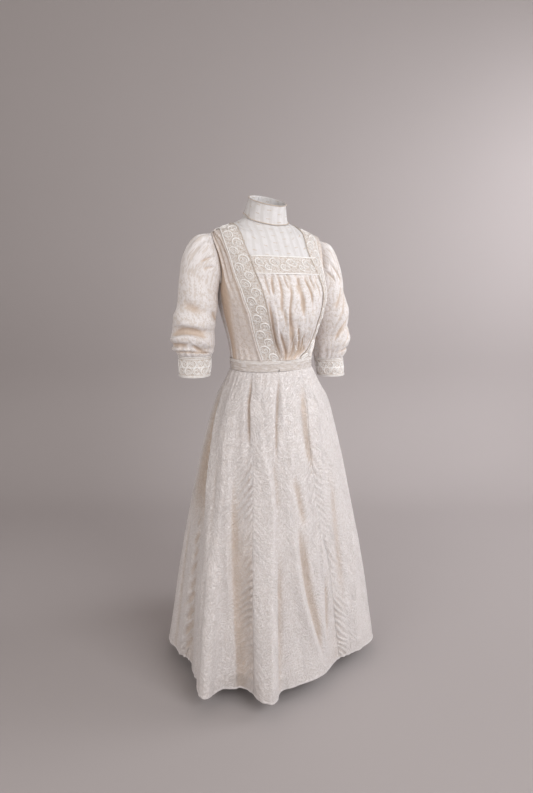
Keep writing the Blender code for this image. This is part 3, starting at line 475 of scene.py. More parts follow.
# Folds of the gathered vest, which converge at the waist: the line each follows as shares up and
# across, its depth (outwards is positive) and its width before and after the line.
VEST_FOLDS = (
    (((0.74, 0.085), (0.86, 0.10), (1.00, 0.13)), -0.0053, 0.0045, 0.0038),
    (((0.76, 0.150), (0.88, 0.19), (1.00, 0.252)), -0.0077, 0.0051, 0.0038),
    (((0.56, 0.215), (0.80, 0.290), (1.00, 0.345)), -0.0074, 0.0058, 0.0038),
    (((0.82, 0.395), (0.91, 0.400), (1.00, 0.412)), -0.0053, 0.0032, 0.0032),
    (((0.16, 0.310), (0.40, 0.325), (0.60, 0.355), (0.80, 0.415), (1.00, 0.462)), -0.0071, 0.0038, 0.0032),
    (((0.14, 0.265), (0.34, 0.285), (0.54, 0.305)), 0.0074, 0.0064, 0.0038),
    (((0.70, 0.500), (0.86, 0.510), (1.00, 0.520)), 0.0041, 0.0051, 0.0051),
    (((0.54, 0.540), (0.70, 0.520), (0.84, 0.510), (1.00, 0.592)), -0.0110, 0.0077, 0.0051),
    (((0.66, 0.690), (0.84, 0.672), (1.00, 0.665)), -0.0080, 0.0058, 0.0045),
    (((0.80, 0.780), (0.90, 0.775), (1.00, 0.765)), -0.0053, 0.0045, 0.0038),
    (((0.72, 0.885), (0.86, 0.880), (1.00, 0.870)), -0.0059, 0.0051, 0.0045),
    (((0.00, 0.060), (0.18, 0.045), (0.42, 0.035), (0.60, 0.040), (0.76, 0.050)), -0.0085, 0.0038, 0.0064),
    (((0.06, 0.130), (0.26, 0.105), (0.48, 0.110), (0.66, 0.125)), 0.0059, 0.0051, 0.0051),
    (((0.00, 0.270), (0.12, 0.235), (0.24, 0.195), (0.42, 0.140)), -0.0091, 0.0045, 0.0038),
    (((0.34, 0.265), (0.48, 0.275), (0.64, 0.255)), -0.0065, 0.0045, 0.0045),
    (((0.00, 0.430), (0.16, 0.405), (0.32, 0.365), (0.60, 0.345)), -0.0085, 0.0038, 0.0058),
    (((0.00, 0.520), (0.14, 0.490), (0.30, 0.440), (0.46, 0.430)), 0.0053, 0.0045, 0.0051),
    (((0.00, 0.640), (0.14, 0.585), (0.30, 0.500), (0.52, 0.415)), -0.0088, 0.0051, 0.0051),
    (((0.00, 0.745), (0.12, 0.700), (0.28, 0.620), (0.40, 0.590)), -0.0083, 0.0045, 0.0045),
    (((0.02, 0.860), (0.12, 0.800), (0.22, 0.700)), -0.0065, 0.0038, 0.0045),
    (((0.02, 0.930), (0.20, 0.870), (0.44, 0.800)), -0.0065, 0.0051, 0.0064),
    (((0.24, 0.760), (0.44, 0.720), (0.62, 0.730)), 0.0050, 0.0064, 0.0064),
)

# A pale curl worked low on the vest, as places across and up it.
VEST_FIGURE = (
    ((0.400, 0.17), (0.392, 0.26), (0.400, 0.34), (0.425, 0.41), (0.470, 0.44), (0.520, 0.42), (0.548, 0.35)),
    ((0.548, 0.35), (0.545, 0.28), (0.505, 0.25), (0.470, 0.28), (0.475, 0.335), (0.505, 0.345)),
    ((0.560, 0.40), (0.600, 0.33), (0.650, 0.27), (0.690, 0.22), (0.700, 0.16)),
    ((0.430, 0.22), (0.460, 0.17), (0.510, 0.15), (0.550, 0.17)),
)

# Sections down each sleeve. x is the distance from the bodice's middle, and tilt is the section's
# lean in degrees: 90 stands upright beside the shoulder and 0 is level.
SLEEVE_NAMES = ("along", "x", "y", "z", "tilt", "across", "depth")
SLEEVE_RIGHT = Table(
    SLEEVE_NAMES,
    (
        (0.00, 0.176, 0.010, 1.361, 82, 0.072, 0.040),
        (0.10, 0.197, 0.018, 1.352, 68, 0.076, 0.050),
        (0.22, 0.213, 0.025, 1.327, 44, 0.071, 0.056),
        (0.36, 0.224, 0.028, 1.282, 24, 0.061, 0.060),
        (0.52, 0.230, 0.029, 1.230, 13, 0.060, 0.063),
        (0.68, 0.242, 0.030, 1.180, 8, 0.062, 0.065),
        (0.82, 0.249, 0.030, 1.133, 4, 0.064, 0.066),
        (0.93, 0.250, 0.030, 1.098, 2, 0.060, 0.060),
        (1.00, 0.247, 0.029, 1.0805, 0, 0.0470, 0.0470),
    ),
)
SLEEVE_LEFT = Table(
    SLEEVE_NAMES,
    (
        (0.00, 0.176, 0.006, 1.364, 82, 0.072, 0.046),
        (0.10, 0.194, 0.010, 1.350, 68, 0.074, 0.054),
        (0.22, 0.206, 0.014, 1.323, 44, 0.070, 0.060),
        (0.36, 0.219, 0.014, 1.272, 24, 0.062, 0.065),
        (0.52, 0.232, 0.015, 1.212, 13, 0.060, 0.068),
        (0.68, 0.240, 0.020, 1.154, 8, 0.061, 0.067),
        (0.82, 0.245, 0.024, 1.106, 4, 0.062, 0.066),
        (0.93, 0.245, 0.027, 1.066, 2, 0.057, 0.059),
        (1.00, 0.240, 0.028, 1.0405, 0, 0.0475, 0.0475),
    ),
)
# Crumples across the sleeves: place along the sleeve and round it (0 outside, 90 in front), slant,
# depth, breadth along the sleeve, and spread round it in degrees.
CRUMPLES_RIGHT = (
    (0.34, 75, 0.05, -0.003, 0.060, 60),
    (0.575, 60, 0.04, -0.005, 0.045, 65),
    (0.665, 35, 0.06, 0.006, 0.045, 85),
    (0.755, 75, -0.02, -0.009, 0.040, 70),
    (0.835, 25, 0.03, 0.006, 0.040, 90),
    (0.905, 85, 0.01, -0.007, 0.034, 65),
)
CRUMPLES_LEFT = (
    (0.44, 60, 0.10, -0.005, 0.055, 60),
    (0.58, 55, 0.10, 0.005, 0.050, 65),
    (0.71, 60, 0.09, -0.007, 0.045, 65),
    (0.83, 45, 0.05, 0.005, 0.040, 85),
)
# Finer creases of the sleeves: the line each follows as degrees round the sleeve and shares along
# it, its depth (outwards is positive) and its width above and below the line in metres.
SLEEVE_CREASES_RIGHT = (
    (((-30, 0.815), (4, 0.792), (28, 0.762), (49, 0.748), (72, 0.753), (92, 0.775), (118, 0.845)),
     -0.0062, 0.0055, 0.010),
    (((-20, 0.735), (20, 0.712), (60, 0.702), (95, 0.712), (125, 0.745)), 0.0054, 0.0096, 0.0060),
    (((-25, 0.850), (14, 0.832), (55, 0.804), (95, 0.838), (128, 0.892)), 0.0059, 0.0056, 0.0056),
    (((-40, 0.895), (-8, 0.886), (40, 0.876), (66, 0.838)), -0.0073, 0.0048, 0.0056),
    (((58, 0.862), (80, 0.900), (106, 0.946), (130, 0.960)), -0.0073, 0.0048, 0.0048),
    (((-45, 0.930), (-15, 0.918), (50, 0.912), (90, 0.905)), 0.0054, 0.0048, 0.0048),
    (((-40, 0.966), (-13, 0.960), (53, 0.936), (86, 0.944), (118, 0.956)), -0.0054, 0.0032, 0.0040),
    (((62, 0.215), (72, 0.175), (80, 0.120), (84, 0.060)), -0.0059, 0.0064, 0.0040),
    (((70, 0.260), (86, 0.205), (98, 0.130), (102, 0.070)), -0.0041, 0.0056, 0.0048),
    (((112, 0.560), (136, 0.610), (158, 0.640)), -0.0054, 0.0080, 0.0080),
    (((96, 0.600), (120, 0.660), (150, 0.700)), 0.0041, 0.0096, 0.0080),
    (((-60, 0.560), (-30, 0.600), (0, 0.615)), -0.0035, 0.0096, 0.0096),
    (((20, 0.520), (50, 0.560), (84, 0.570)), -0.0027, 0.0128, 0.0112),
    (((170, 0.74), (205, 0.76), (235, 0.80)), -0.0068, 0.0080, 0.0080),
    (((175, 0.86), (205, 0.87), (238, 0.90)), -0.0059, 0.0064, 0.0064),
    (((180, 0.40), (205, 0.48), (235, 0.52)), -0.0049, 0.0112, 0.0112),
)
SLEEVE_CREASES_LEFT = (
    (((40, 0.560), (60, 0.630), (93, 0.725), (118, 0.830)), -0.0070, 0.0072, 0.0056),
    (((30, 0.610), (52, 0.690), (84, 0.790), (106, 0.875)), 0.0046, 0.0064, 0.0056),
    (((24, 0.680), (48, 0.770), (76, 0.860), (98, 0.920)), -0.0062, 0.0064, 0.0056),
    (((52, 0.440), (78, 0.540), (104, 0.640), (128, 0.750)), -0.0049, 0.0072, 0.0064),
    (((56, 0.310), (84, 0.430), (112, 0.520)), -0.0041, 0.0080, 0.0072),
    (((40, 0.400), (52, 0.280), (60, 0.200)), -0.0054, 0.0080, 0.0064),
    (((58, 0.340), (74, 0.220), (84, 0.120)), -0.0068, 0.0080, 0.0056),
    (((84, 0.310), (98, 0.200), (108, 0.090)), -0.0059, 0.0072, 0.0056),
    (((-20, 0.900), (30, 0.905), (70, 0.925), (110, 0.945)), -0.0054, 0.0048, 0.0048),
    (((-30, 0.800), (5, 0.830), (40, 0.870)), -0.0049, 0.0064, 0.0064),
    (((150, 0.56), (185, 0.60), (220, 0.66)), -0.0059, 0.0096, 0.0096),
    (((160, 0.78), (190, 0.80), (225, 0.86)), -0.0059, 0.0080, 0.0080),
)
# Gathers round the sleeve's head and above its cuff, and how far they stand up.
HEAD_GATHERS = 15
HEAD_GATHER_HEIGHT = 0.0034
CUFF_GATHERS = 8
CUFF_GATHER_HEIGHT = 0.0022
# The sleeve keeps clear of the bodice, and further where the bodice's tuck stands up.
SLEEVE_CLEARANCE = 0.003
TUCK_HEIGHT = 0.0035
SLEEVE_LENGTH = 0.30

CUFF_DEPTH = 0.059
CUFF_TOP = 0.0475
CUFF_BOTTOM = 0.0445
CUFF_DROP = (0.006, -0.007)

# The collar's top edge: an oval round a middle, with its heights in front and behind.
COLLAR_TOP = {
    "half_width": 0.0545, "half_depth": 0.0560, "x": 0.012, "y": 0.010, "front": 1.519, "back": 1.558,
}

# Each sleeve's side, sections, crumples and creases.
SLEEVES = (
    ("left", 1, SLEEVE_LEFT, CRUMPLES_LEFT, SLEEVE_CREASES_LEFT),
    ("right", -1, SLEEVE_RIGHT, CRUMPLES_RIGHT, SLEEVE_CREASES_RIGHT),
)

# The spacing of the crescents along the bands and across the neckline, and how many go round a cuff.
SCROLL_STEP = 0.0262
NECKLINE_STEP = 0.0475
CUFF_SCROLLS = 24
# Points along each crescent and each curl.
CURL_POINTS = 14
# The crescents nearest a band's ends lie this far from them.
SCROLL_MARGIN = 0.012
# The neckline has so many pairs of crescents. Each of a pair is moved so many metres across and lies
# so far up the band, with its share of the size and its facing in degrees.
NECKLINE_SCROLLS = 4
NECKLINE_ROWS = ((0.0, 0.62, 1.0, 105), (0.024, 0.34, 0.78, 120))
# The neckline's piping: how far it lies below the band, how far apart its two lines are, its radius.
PIPING_DROP = 0.0014
PIPING_APART = 0.0493
PIPING_RADIUS = 0.0020
# The hook: its angle and share up the waistband, how far before it, its half sizes and its wire.
HOOK_SPOT = (np.array(-13.5), np.array(0.06))
HOOK_FORWARD = 0.0035
HOOK_HALF_WIDTH = 0.0016
HOOK_HALF_HEIGHT = 0.0028
HOOK_WIRE = 0.0006

# The camera, tilted down and turned to its right in radians.
CAMERA_PLACE = (-0.7725, -1.599, -0.099)
CAMERA_TILT = 0.221
CAMERA_TURN = 0.450
CAMERA_LENS = 25.42
CAMERA_SHIFT = -0.0059
# The studio's paper lies on the floor for PAPER_RUN, bends up and stands behind the dress.
PAPER_LENGTH = 10.5
PAPER_HALF_WIDTH = 5.5
PAPER_RUN = 4.2
PAPER_BEND = 0.7
PAPER_BEFORE = 3.0
PAPER_TURN = 0.45
AIR_COLOUR = (1.0, 0.935, 0.89, 1)
AIR_STRENGTH = 0.50
# Each light with its place, what it aims at, its size, power, colour and spread.
LIGHTS = (
    ("key_light", (0.8, -2.8, 0.8), (0.0, 0.0, -0.8), 1.8, 51.0, (0.97, 0.98, 1.0), 3.1),
    ("fill_light", (-2.6, -1.2, 0.1), (0.0, 0.0, -0.8), 1.6, 11.0, (1.0, 0.97, 0.95), 2.4),
    ("side_light", (2.5, -0.9, 0.5), (0.1, 0.0, -0.8), 1.4, 9.0, (0.98, 0.98, 1.0), 2.0),
    ("wall_light", (2.6, -0.6, 0.7), (1.9, 1.0, -0.10), 1.4, 18.0, (0.96, 0.96, 1.0), 2.0),
)

# The cut of each piece: its width and length in metres, its flat area where that isn't a rectangle,
# how it is held, what it hangs from, and the faces of its mesh across and up.
CUTS = {
    "skirt_front": (0.42, 1.03, 0.27, "hung", "waistband", 98, 226),
    "skirt_side_front_right": (0.42, 1.03, 0.25, "hung", "waistband", 100, 226),
    "skirt_side_front_left": (0.35, 1.03, 0.29, "hung", "waistband", 86, 230),
    "skirt_side_back_right": (0.32, 1.03, 0.24, "hung", "waistband", 70, 200),
    "skirt_side_back_left": (0.34, 1.03, 0.25, "hung", "waistband", 72, 150),
    "skirt_back_right": (0.27, 1.03, 0.195, "hung", "waistband", 44, 150),
    "skirt_back_left": (0.29, 1.03, 0.21, "hung", "waistband", 50, 150),
    "vest": (0.24, 0.29, 0.052, "gathered", "neckline_band", 120, 110),
    "side_front_left": (0.135, 0.42, 0.04, "stretched", "band_left", 84, 130),
    "side_front_right": (0.135, 0.42, 0.038, "stretched", "band_right", 84, 130),
    "neckline_band": (0.20, 0.060, None, "stretched", "band_left", 120, 26),
    "yoke_front": (0.21, 0.14, 0.025, "stretched", "collar", 84, 60),
    "collar": (0.44, 0.060, 0.023, "stretched", "yoke_front", 170, 22),
    "collar_lap": (0.017, 0.047, None, "stretched", "collar", 12, 20),
    "sleeve_left": (0.42, 0.36, 0.14, "gathered", "side_front_left", 144, 116),
    "sleeve_right": (0.42, 0.34, 0.132, "gathered", "side_front_right", 144, 116),
    "waistband": (0.78, 0.032, None, "stretched", "skirt_front", 320, 14),
    "waistband_lap": (0.021, 0.023, None, "stretched", "waistband", 10, 10),
    "back_placket": (0.034, 0.44, None, "stretched", "centre_back_left", 12, 120),
}
for word, _ in SIDES:
    CUTS[f"side_back_{word}"] = (0.13, 0.42, 0.036, "stretched", f"band_{word}", 40, 80)
    CUTS[f"centre_back_{word}"] = (0.10, 0.31, 0.020, "stretched", f"band_{word}", 30, 70)
    CUTS[f"band_{word}"] = (0.058, 0.92, 0.050, "stretched", "waistband", 18, 220)
    CUTS[f"yoke_back_{word}"] = (0.115, 0.16, 0.015, "stretched", "collar", 44, 60)
    CUTS[f"cuff_{word}"] = (0.306, 0.060, None, "stretched", f"sleeve_{word}", 96, 24)


def smooth_line(values, count):
    """A soft run of count values through the given ones."""
    values = np.asarray(values, float)
    places_in = np.linspace(0, 1, len(values))
    dense = np.interp(np.linspace(0, 1, 8 * count), places_in, values)
    window = 4 * count // len(values) | 1
    padded = np.concatenate((np.full(window // 2, dense[0]), dense, np.full(window // 2, dense[-1])))
    return np.convolve(padded, np.full(window, 1 / window), "valid")[:: 8]


def reach_of(table, in_front, height):
    """How far the sections in a table reach in front of their middle, or else behind it."""
    return np.where(in_front, table.at("front", height), table.at("back", height))


def torso(angle, height):
    """Points of the bodice's outer surface at angles round the body and heights."""
    turn = np.radians(angle)
    exponent = 2 / TORSO.at("squareness", height)
    reach = reach_of(TORSO, np.abs(angle) <= 90, height)
    x = TORSO.at("half_width", height) * power(np.sin(turn), exponent)
    y = TORSO.at("centre_y", height) - reach * power(np.cos(turn), exponent)
    return places(x, y, height)


def neck_seam(angle):
    """Height of the collar's seam, lowest at the front."""
    quarter = np.abs(angle) / 90
    front = mix(NECK_FRONT, NECK_SIDE, quarter ** NECK_CURVE)
    back = mix(NECK_BACK, NECK_SIDE, (2 - quarter) ** 2)
    return np.where(quarter <= 1, front, back)


def collar(angle, share):
    """The stand collar, from its seam (0) to its top edge (1)."""
    foot = torso(angle, neck_seam(angle) + SEAM_GAP)
    turn = np.radians(angle)
    top = places(
        COLLAR_TOP["x"] + COLLAR_TOP["half_width"] * np.sin(turn),
        COLLAR_TOP["y"] - COLLAR_TOP["half_depth"] * np.cos(turn),
        mix(COLLAR_TOP["front"], COLLAR_TOP["back"], 0.5 - 0.5 * np.cos(turn)),
    )
    return mix(foot, top, np.asarray(share, float)[..., None])


def skirt_height(share):
    """The height at a share of the way down the skirt."""
    return mix(WAIST_SEAM - SEAM_GAP, HEM_LEVEL, share)


def fold_depth(angle, share):
    """How far the skirt's deep folds stand out at an angle and a share of the way down."""
    total = 0.0
    hip_step, knee_step = smoothstep(0.02, 0.12, share), smoothstep(0.15, 0.65, share)
    low_step = smoothstep(0.35, 1.15, share) / smoothstep(0.35, 1.15, 1)
    spread = mix(1.5, 1.0, share)
    for waist, hem, hip, knee, low, before, after, steepness in SKIRT_FOLDS:
        offset = (angle - mix(waist, hem, share) + 180) % 360 - 180
        depth = hip * hip_step + (knee - hip) * knee_step + (low - knee) * low_step
        steep = mix(2, steepness, low_step)
        total = total + depth * crest(offset, before * spread, after * spread, steep)
    return total


def skirt_radius(share):
    """The skirt's middling radius in front, by which degrees become metres."""
    height = skirt_height(share)
    return (SKIRT.at("half_width", height) + SKIRT.at("front", height)) / 2


def crease_lines(lines, key, value, metre, turn=None, fading=0.32):
    """The relief of creases that follow lines, each fading out where it ends inside the cloth.

    value is measured across the lines, with metre metres to each, and starts again after turn.
    fading is the share of its length over which a crease fades.
    """
    total = 0.0
    for line, depth, before, after in lines:
        route = Table(("key", "value"), line)
        offset = value - route.at("value", key)
        if turn:
            offset = (offset + turn / 2) % turn - turn / 2
        start, end = line[0][0], line[-1][0]
        fade = fading * (end - start)
        held = smoothstep(start - 0.3 * fade, start + fade, key)
        if not turn or end < 0.99:
            held = held * (1 - smoothstep(end - fade, end + 0.3 * fade, key))
        total = total + depth * held * crest(offset * metre, before, after)
    return total


def crease_depth(angle, share):
    """The lighter creases of the skirt."""
    return crease_lines(SKIRT_CREASES, share, angle, np.radians(1.0) * skirt_radius(share), 360)


def skirt(angle, share):
    """The skirt's outer surface, from the waistband's seam (0) to the hem (1)."""
    turn = np.radians(angle)
    height = skirt_height(share)
    reach = reach_of(SKIRT, np.abs(angle) <= 90, height)
    half_width = SKIRT.at("half_width", height)
    ring = places(half_width * np.sin(turn), -reach * np.cos(turn), height)
    out = unit(places(np.sin(turn) / half_width, -np.cos(turn) / reach, 0.0))
    return ring + out * fold_depth(angle, share)[..., None]


def outwards(surface, a, b, step_a, step_b):
    """The directions straight out of a surface at its points."""
    along_a = surface(a + step_a, b) - surface(a - step_a, b)
    along_b = surface(a, b + step_b) - surface(a, b - step_b)
    return unit(np.cross(along_a, along_b))


def torso_normal(angle, height):
    """The directions straight out of the bodice."""
    return outwards(torso, angle, height, 0.2, 0.0005)


def posed(points):
    """Bodice points with the slight turn, lean and shoulder tilt of the dress above the waist."""
    x, y, z = points[..., 0], points[..., 1], points[..., 2]
    above = np.maximum(z - WAIST_TOP, 0.0)
    turned_x = x * math.cos(BODICE_TURN) - y * math.sin(BODICE_TURN)
    turned_y = x * math.sin(BODICE_TURN) + y * math.cos(BODICE_TURN)
    tilted_z = z + turned_x * SHOULDER_TILT * above / BODICE_LENGTH
    neck = NECK_SHIFT * smoothstep(NECK_SHIFT_FROM, NECK_SIDE, z)
    return places(turned_x + BODICE_LEAN * above + neck, turned_y, tilted_z)


def worn(angle, height, lift):
    """Points above the bodice by lift, in the pose."""
    lift = np.broadcast_to(lift, np.shape(angle))
    return posed(torso(angle, height) + torso_normal(angle, height) * lift[..., None])


def worn_collar(angle, share, lift):
    """Points above the collar by lift, in the pose."""
    normal = outwards(collar, angle, np.clip(share, 0.01, 0.99), 0.3, 0.005)
    return posed(collar(angle, share) + normal * np.asarray(lift)[..., None])


def waistband_surface(angle, share):
    """The waistband's outer surface, from its seam (0) to its top (1)."""
    flat = torso(angle, np.full_like(angle, WAIST_TOP))
    flat[..., 2] = mix(WAIST_SEAM + SEAM_GAP, WAIST_TOP - SEAM_GAP, share)
    return flat


def worn_waistband(angle, share, lift):
    """Points above the waistband by lift, in the pose."""
    level = np.full_like(angle, WAIST_TOP - 0.004)
    out = unit(torso_normal(angle, level) * (1, 1, 0))
    return posed(waistband_surface(angle, share) + out * np.asarray(lift)[..., None])


def ridge_height(half_width):
    """Height on the shoulder slope at which a section has this half width."""
    low, high = 1.425, 1.500
    for _ in range(40):
        middle = (low + high) / 2
        if TORSO.at("half_width", middle) > half_width:
            low = middle
        else:
            high = middle
    return low


def angle_at(x, height):
    """Angle in front at which a section is x wide of the centre line."""
    share = np.minimum(x / TORSO.at("half_width", height), 1.0)
    return np.degrees(np.arcsin(share ** (TORSO.at("squareness", height) / 2)))


def band_edge(table, edge):
    """Places (angle, height) up one edge of a band, from the waist to the shoulder's ridge."""
    reach = [float(table.at(edge, height)) for height in (*BAND_HEIGHTS, BAND_TOP)]
    found = [(float(angle_at(x, height)), height) for x, height in zip(reach, BAND_HEIGHTS)]
    last_angle = found[-1][0]
    for step in range(1, RIDGE_STEPS + 1):
        share = step / RIDGE_STEPS
        angle = mix(last_angle, 90, share)
        wide = mix(reach[-2], reach[-1], share) / math.sin(math.radians(angle))
        found.append((angle, ridge_height(wide)))
    return found


def band_line(edge, side):
    """A band's edge from the front waist over the shoulder to the back waist, as rows to read."""
    edge = f"{edge}_left" if side > 0 else f"{edge}_right"
    front = band_edge(BAND_FRONT, edge)
    back = [(180 - angle, height) for angle, height in band_edge(BAND_BACK, edge)]
    whole = front + back[-2::-1]
    return Table(("row", "angle", "height"), [(row, *place) for row, place in enumerate(whole)])


def armhole(turn, reach):
    """Places on the armhole: 0 at the shoulder tip, 90 at its edge, 180 underneath."""
    half = (SHOULDER_TIP - UNDERARM) / 2
    bend = np.radians(turn)
    return 90 - reach * np.sin(bend), ARMHOLE_MIDDLE + half * np.cos(bend)


BAND_LINES = {
    (edge, side): band_line(edge, side) for edge in ("inner", "outer") for side in (1, -1)
}
LAST_ROW = 2 * PANEL_ROWS


def along_band(edge, side, behind=False):
    """A band's edge as a function of the row, up from the front or the back waist."""
    line = BAND_LINES[edge, side]

    def at(row):
        row = LAST_ROW - row if behind else row
        return side * line.at("angle", row), line.at("height", row)

    return at


def along_side(side, behind=False):
    """The side seam, then one edge of the armhole, up to the shoulder tip."""
    reach = ARMHOLE_BACK if behind else ARMHOLE_FRONT

    def at(row):
        turn = 180 * (1 - (row - SIDE_SEAM_ROWS) / ARMHOLE_STEPS)
        angle, height = armhole(np.minimum(turn, 180.0), reach)
        seam_height = mix(WAIST_TOP, UNDERARM, row / SIDE_SEAM_ROWS)
        below = row < SIDE_SEAM_ROWS
        angle, height = np.where(below, 90.0, angle), np.where(below, seam_height, height)
        return side * (180 - angle if behind else angle), height

    return at


def along_middle(side):
    """The centre back, level with the rows of the band's edge."""
    line = BAND_LINES["inner", 1]

    def at(row):
        return np.full_like(row, side * 180.0), line.at("height", LAST_ROW - row)

    return at


class Panel:
    """A piece of the bodice between two edges, with shares running across and up it."""

    def __init__(self, left, right, first_row, last_row):
        self.left, self.right = left, right
        self.first_row, self.last_row = first_row, last_row

    def spot(self, across, up):
        """Angles and heights at shares across and up the panel."""
        row = mix(self.first_row, self.last_row, up)
        left_angle, left_height = self.left(row)
        right_angle, right_height = self.right(row)
        return mix(left_angle, right_angle, across), mix(left_height, right_height, across)

    def point(self, across, up, lift=0.0):
        """Points above the panel by lift, in the pose."""
        return worn(*self.spot(across, up), lift)

    def width(self, up):
        """How wide the panel is at shares up it, in metres."""
        start, end = self.spot(np.zeros_like(up), up), self.spot(np.ones_like(up), up)
        return np.linalg.norm(torso(*start) - torso(*end), axis=-1)

    def length_shares(self):
        """Distances up the middle of the panel, and the shares at which they are reached."""
        up = np.linspace(0, 1, 400)
        line = self.point(np.full_like(up, 0.5), up)
        walked = np.concatenate(([0.0], np.cumsum(np.linalg.norm(np.diff(line, axis=0), axis=1))))
        return walked, up


PANELS = {
    "vest": Panel(along_band("inner", -1), along_band("inner", 1), 0, LOW_ROW),
    "neckline_band": Panel(along_band("inner", -1), along_band("inner", 1), LOW_ROW, HIGH_ROW),
}
for word, side in SIDES:
    PANELS[f"band_{word}"] = Panel(along_band("inner", side), along_band("outer", side), 0, LAST_ROW)
    PANELS[f"side_front_{word}"] = Panel(along_band("outer", side), along_side(side), 0, PANEL_ROWS)
    PANELS[f"side_back_{word}"] = Panel(
        along_band("outer", side, behind=True), along_side(side, behind=True), 0, PANEL_ROWS
    )
    PANELS[f"centre_back_{word}"] = Panel(
        along_middle(side), along_band("inner", side, behind=True), 0, HIGH_ROW
    )


class Yoke:
    """The net between the bands and the collar. side is 0 for the front, 1 or -1 for a back half."""

    def __init__(self, side):
        self.side = side
        self.rows = PANEL_ROWS - HIGH_ROW + 1
        self.seam = NECK_BACK if side else NECK_FRONT

    def edge(self, turn, row):
        """The band's edge beside a row of the net."""
        found = HIGH_ROW + np.minimum(row, self.rows - 1)
        if self.side:
            line = BAND_LINES["inner", self.side]
            return 180 - line.at("angle", LAST_ROW - found), line.at("height", LAST_ROW - found)
        right, left = BAND_LINES["inner", -1], BAND_LINES["inner", 1]
        angle = np.where(turn < 0, right.at("angle", found), left.at("angle", found))
        return angle, np.where(turn < 0, right.at("height", found), left.at("height", found))

    def spot(self, turn, row):
        """Angles and heights on the net. turn is -1 or 1 at the bands and 0 at the centre line."""
        edge_angle, edge_height = self.edge(turn, row)
        level = np.minimum(row, self.rows - 1)
        reach = np.abs(torso(edge_angle, edge_height)[..., 0])
        share = np.abs(np.sin(np.radians(edge_angle * turn)) / np.sin(np.radians(edge_angle)))
        height = mix(mix(NECKLINE_HIGH, self.seam, level / self.rows), edge_height, share * share)
        angle = np.where(share > 0.9999, edge_angle, angle_at(share * reach, height))
        angle = np.copysign(angle, turn)
        top_angle = 90 * turn
        top_height = neck_seam(180 - top_angle if self.side else top_angle)
        last = np.clip(row - (self.rows - 1), 0, 1)
        return mix(angle, top_angle, last), mix(height, top_height, last)

    def point(self, across, up, lift):
        """Points above the net by lift, in the pose."""
        row = up * self.rows
        if self.side > 0:
            turn = across
        elif self.side < 0:
            turn = across - 1
        else:
            turn = 2 * across - 1
        angle, height = self.spot(turn, row)
        if self.side:
            angle = 180 - angle
        return worn(angle, height, lift)

    def place(self, across, up):
        """The net with its soft unevenness, for lay_cloth."""
        lift = 0.0006 * waves(across * 7, up * 5, 71) * off_edges(across, 0.05)
        lift = lift * smoothstep(0, 0.06, up)
        return self.point(across, up, lift * smoothstep(1, 0.94, up)), {}


def collar_place(across, up):
    """The stand collar, for lay_cloth."""
    angle = mix(-179.8, 179.8, across)
    soft = 0.0005 * waves(across * 24, up * 2, 72, around=24)
    return worn_collar(angle, up, soft * off_edges(up, 0.2)), {}


def collar_lap_place(across, up):
    """The collar's lap at the centre back, for lay_cloth."""
    angle = 180 + mix(-COLLAR_LAP_ANGLE, COLLAR_LAP_ANGLE, across)
    return worn_collar(angle, mix(0.10, 0.90, up), 0.0020), {}


def placket_place(across, up):
    """The lap that closes the centre back, for lay_cloth."""
    angle = 180 + mix(-LAP_ANGLE, LAP_ANGLE, across)
    height = mix(WAIST_TOP + SEAM_GAP, NECK_BACK - 0.002, up)
    edge = crest(np.minimum(across, 1 - across), 0.06, 0.06)
    lift = 0.0020 + 0.0004 * np.sin(up * 150) * crest(across - 0.5, 0.3, 0.3) + 0.0003 * edge
    return worn(angle, height, lift), {}


def waistband_place(across, up):
    """The crinkled waistband, for lay_cloth."""
    angle = mix(-179.9, 179.9, across)
    crinkle = 0.0012 * waves(across * 22, up * 5 + 2 * waves(across * 9, 0.5, 97), 95)
    crinkle = crinkle * off_edges(up, 0.15) + 0.0005 * waves(across * 60, up * 3, 96)
    lift = BAND_LIFT * (0.3 + 0.7 * smoothstep(0, 0.22, up)) + crinkle
    return worn_waistband(angle, mix(-0.07, 1.06, up), lift), {}


def waistband_lap_place(across, up):
    """The waistband's lap at the centre back, for lay_cloth."""
    angle = 180 + mix(-LAP_ANGLE, LAP_ANGLE, across)
    return worn_waistband(angle, mix(0.04, 0.76, up), 0.0030), {}


def side_reach(y, height):
    """How far from the centre line the bodice's side lies at a depth and a height."""
    depth = y - TORSO.at("centre_y", height)
    reach = reach_of(TORSO, depth < 0, height)
    bend = TORSO.at("squareness", height)
    inner = np.maximum(1 - (np.abs(depth) / reach) ** bend, 0.0)
    return TORSO.at("half_width", height) * inner ** (1 / bend)


def sleeve_start(turn):
    """The sleeve's edge in the armhole, a seam's gap inside the bodice's edge."""
    turn = turn % 360
    in_front = turn <= 180
    half_turn = np.where(in_front, turn, 360 - turn)
    angle, height = armhole(half_turn, np.where(in_front, ARMHOLE_FRONT, ARMHOLE_BACK))
    point = torso(np.where(in_front, angle, 180 - angle), height)
    inwards = torso(np.array(90.0), np.array(ARMHOLE_MIDDLE)) - point
    inwards[..., 0] = 0.0
    return point + unit(inwards) * SEAM_GAP * 1.5 + np.array((SEAM_GAP, 0, 0))


def crumple_size(crumples, turn, along):
    """How far the broad crumples stand out of a sleeve."""
    total = 0.0
    for place, turned, slant, depth, breadth, spread in crumples:
        off_round = (turn - turned + 180) % 360 - 180
        off_along = along - place - slant * off_round / 90
        total = total + depth * crest(off_along, breadth, breadth) * crest(off_round, spread, spread)
    return total * smoothstep(1.0, 0.93, along)


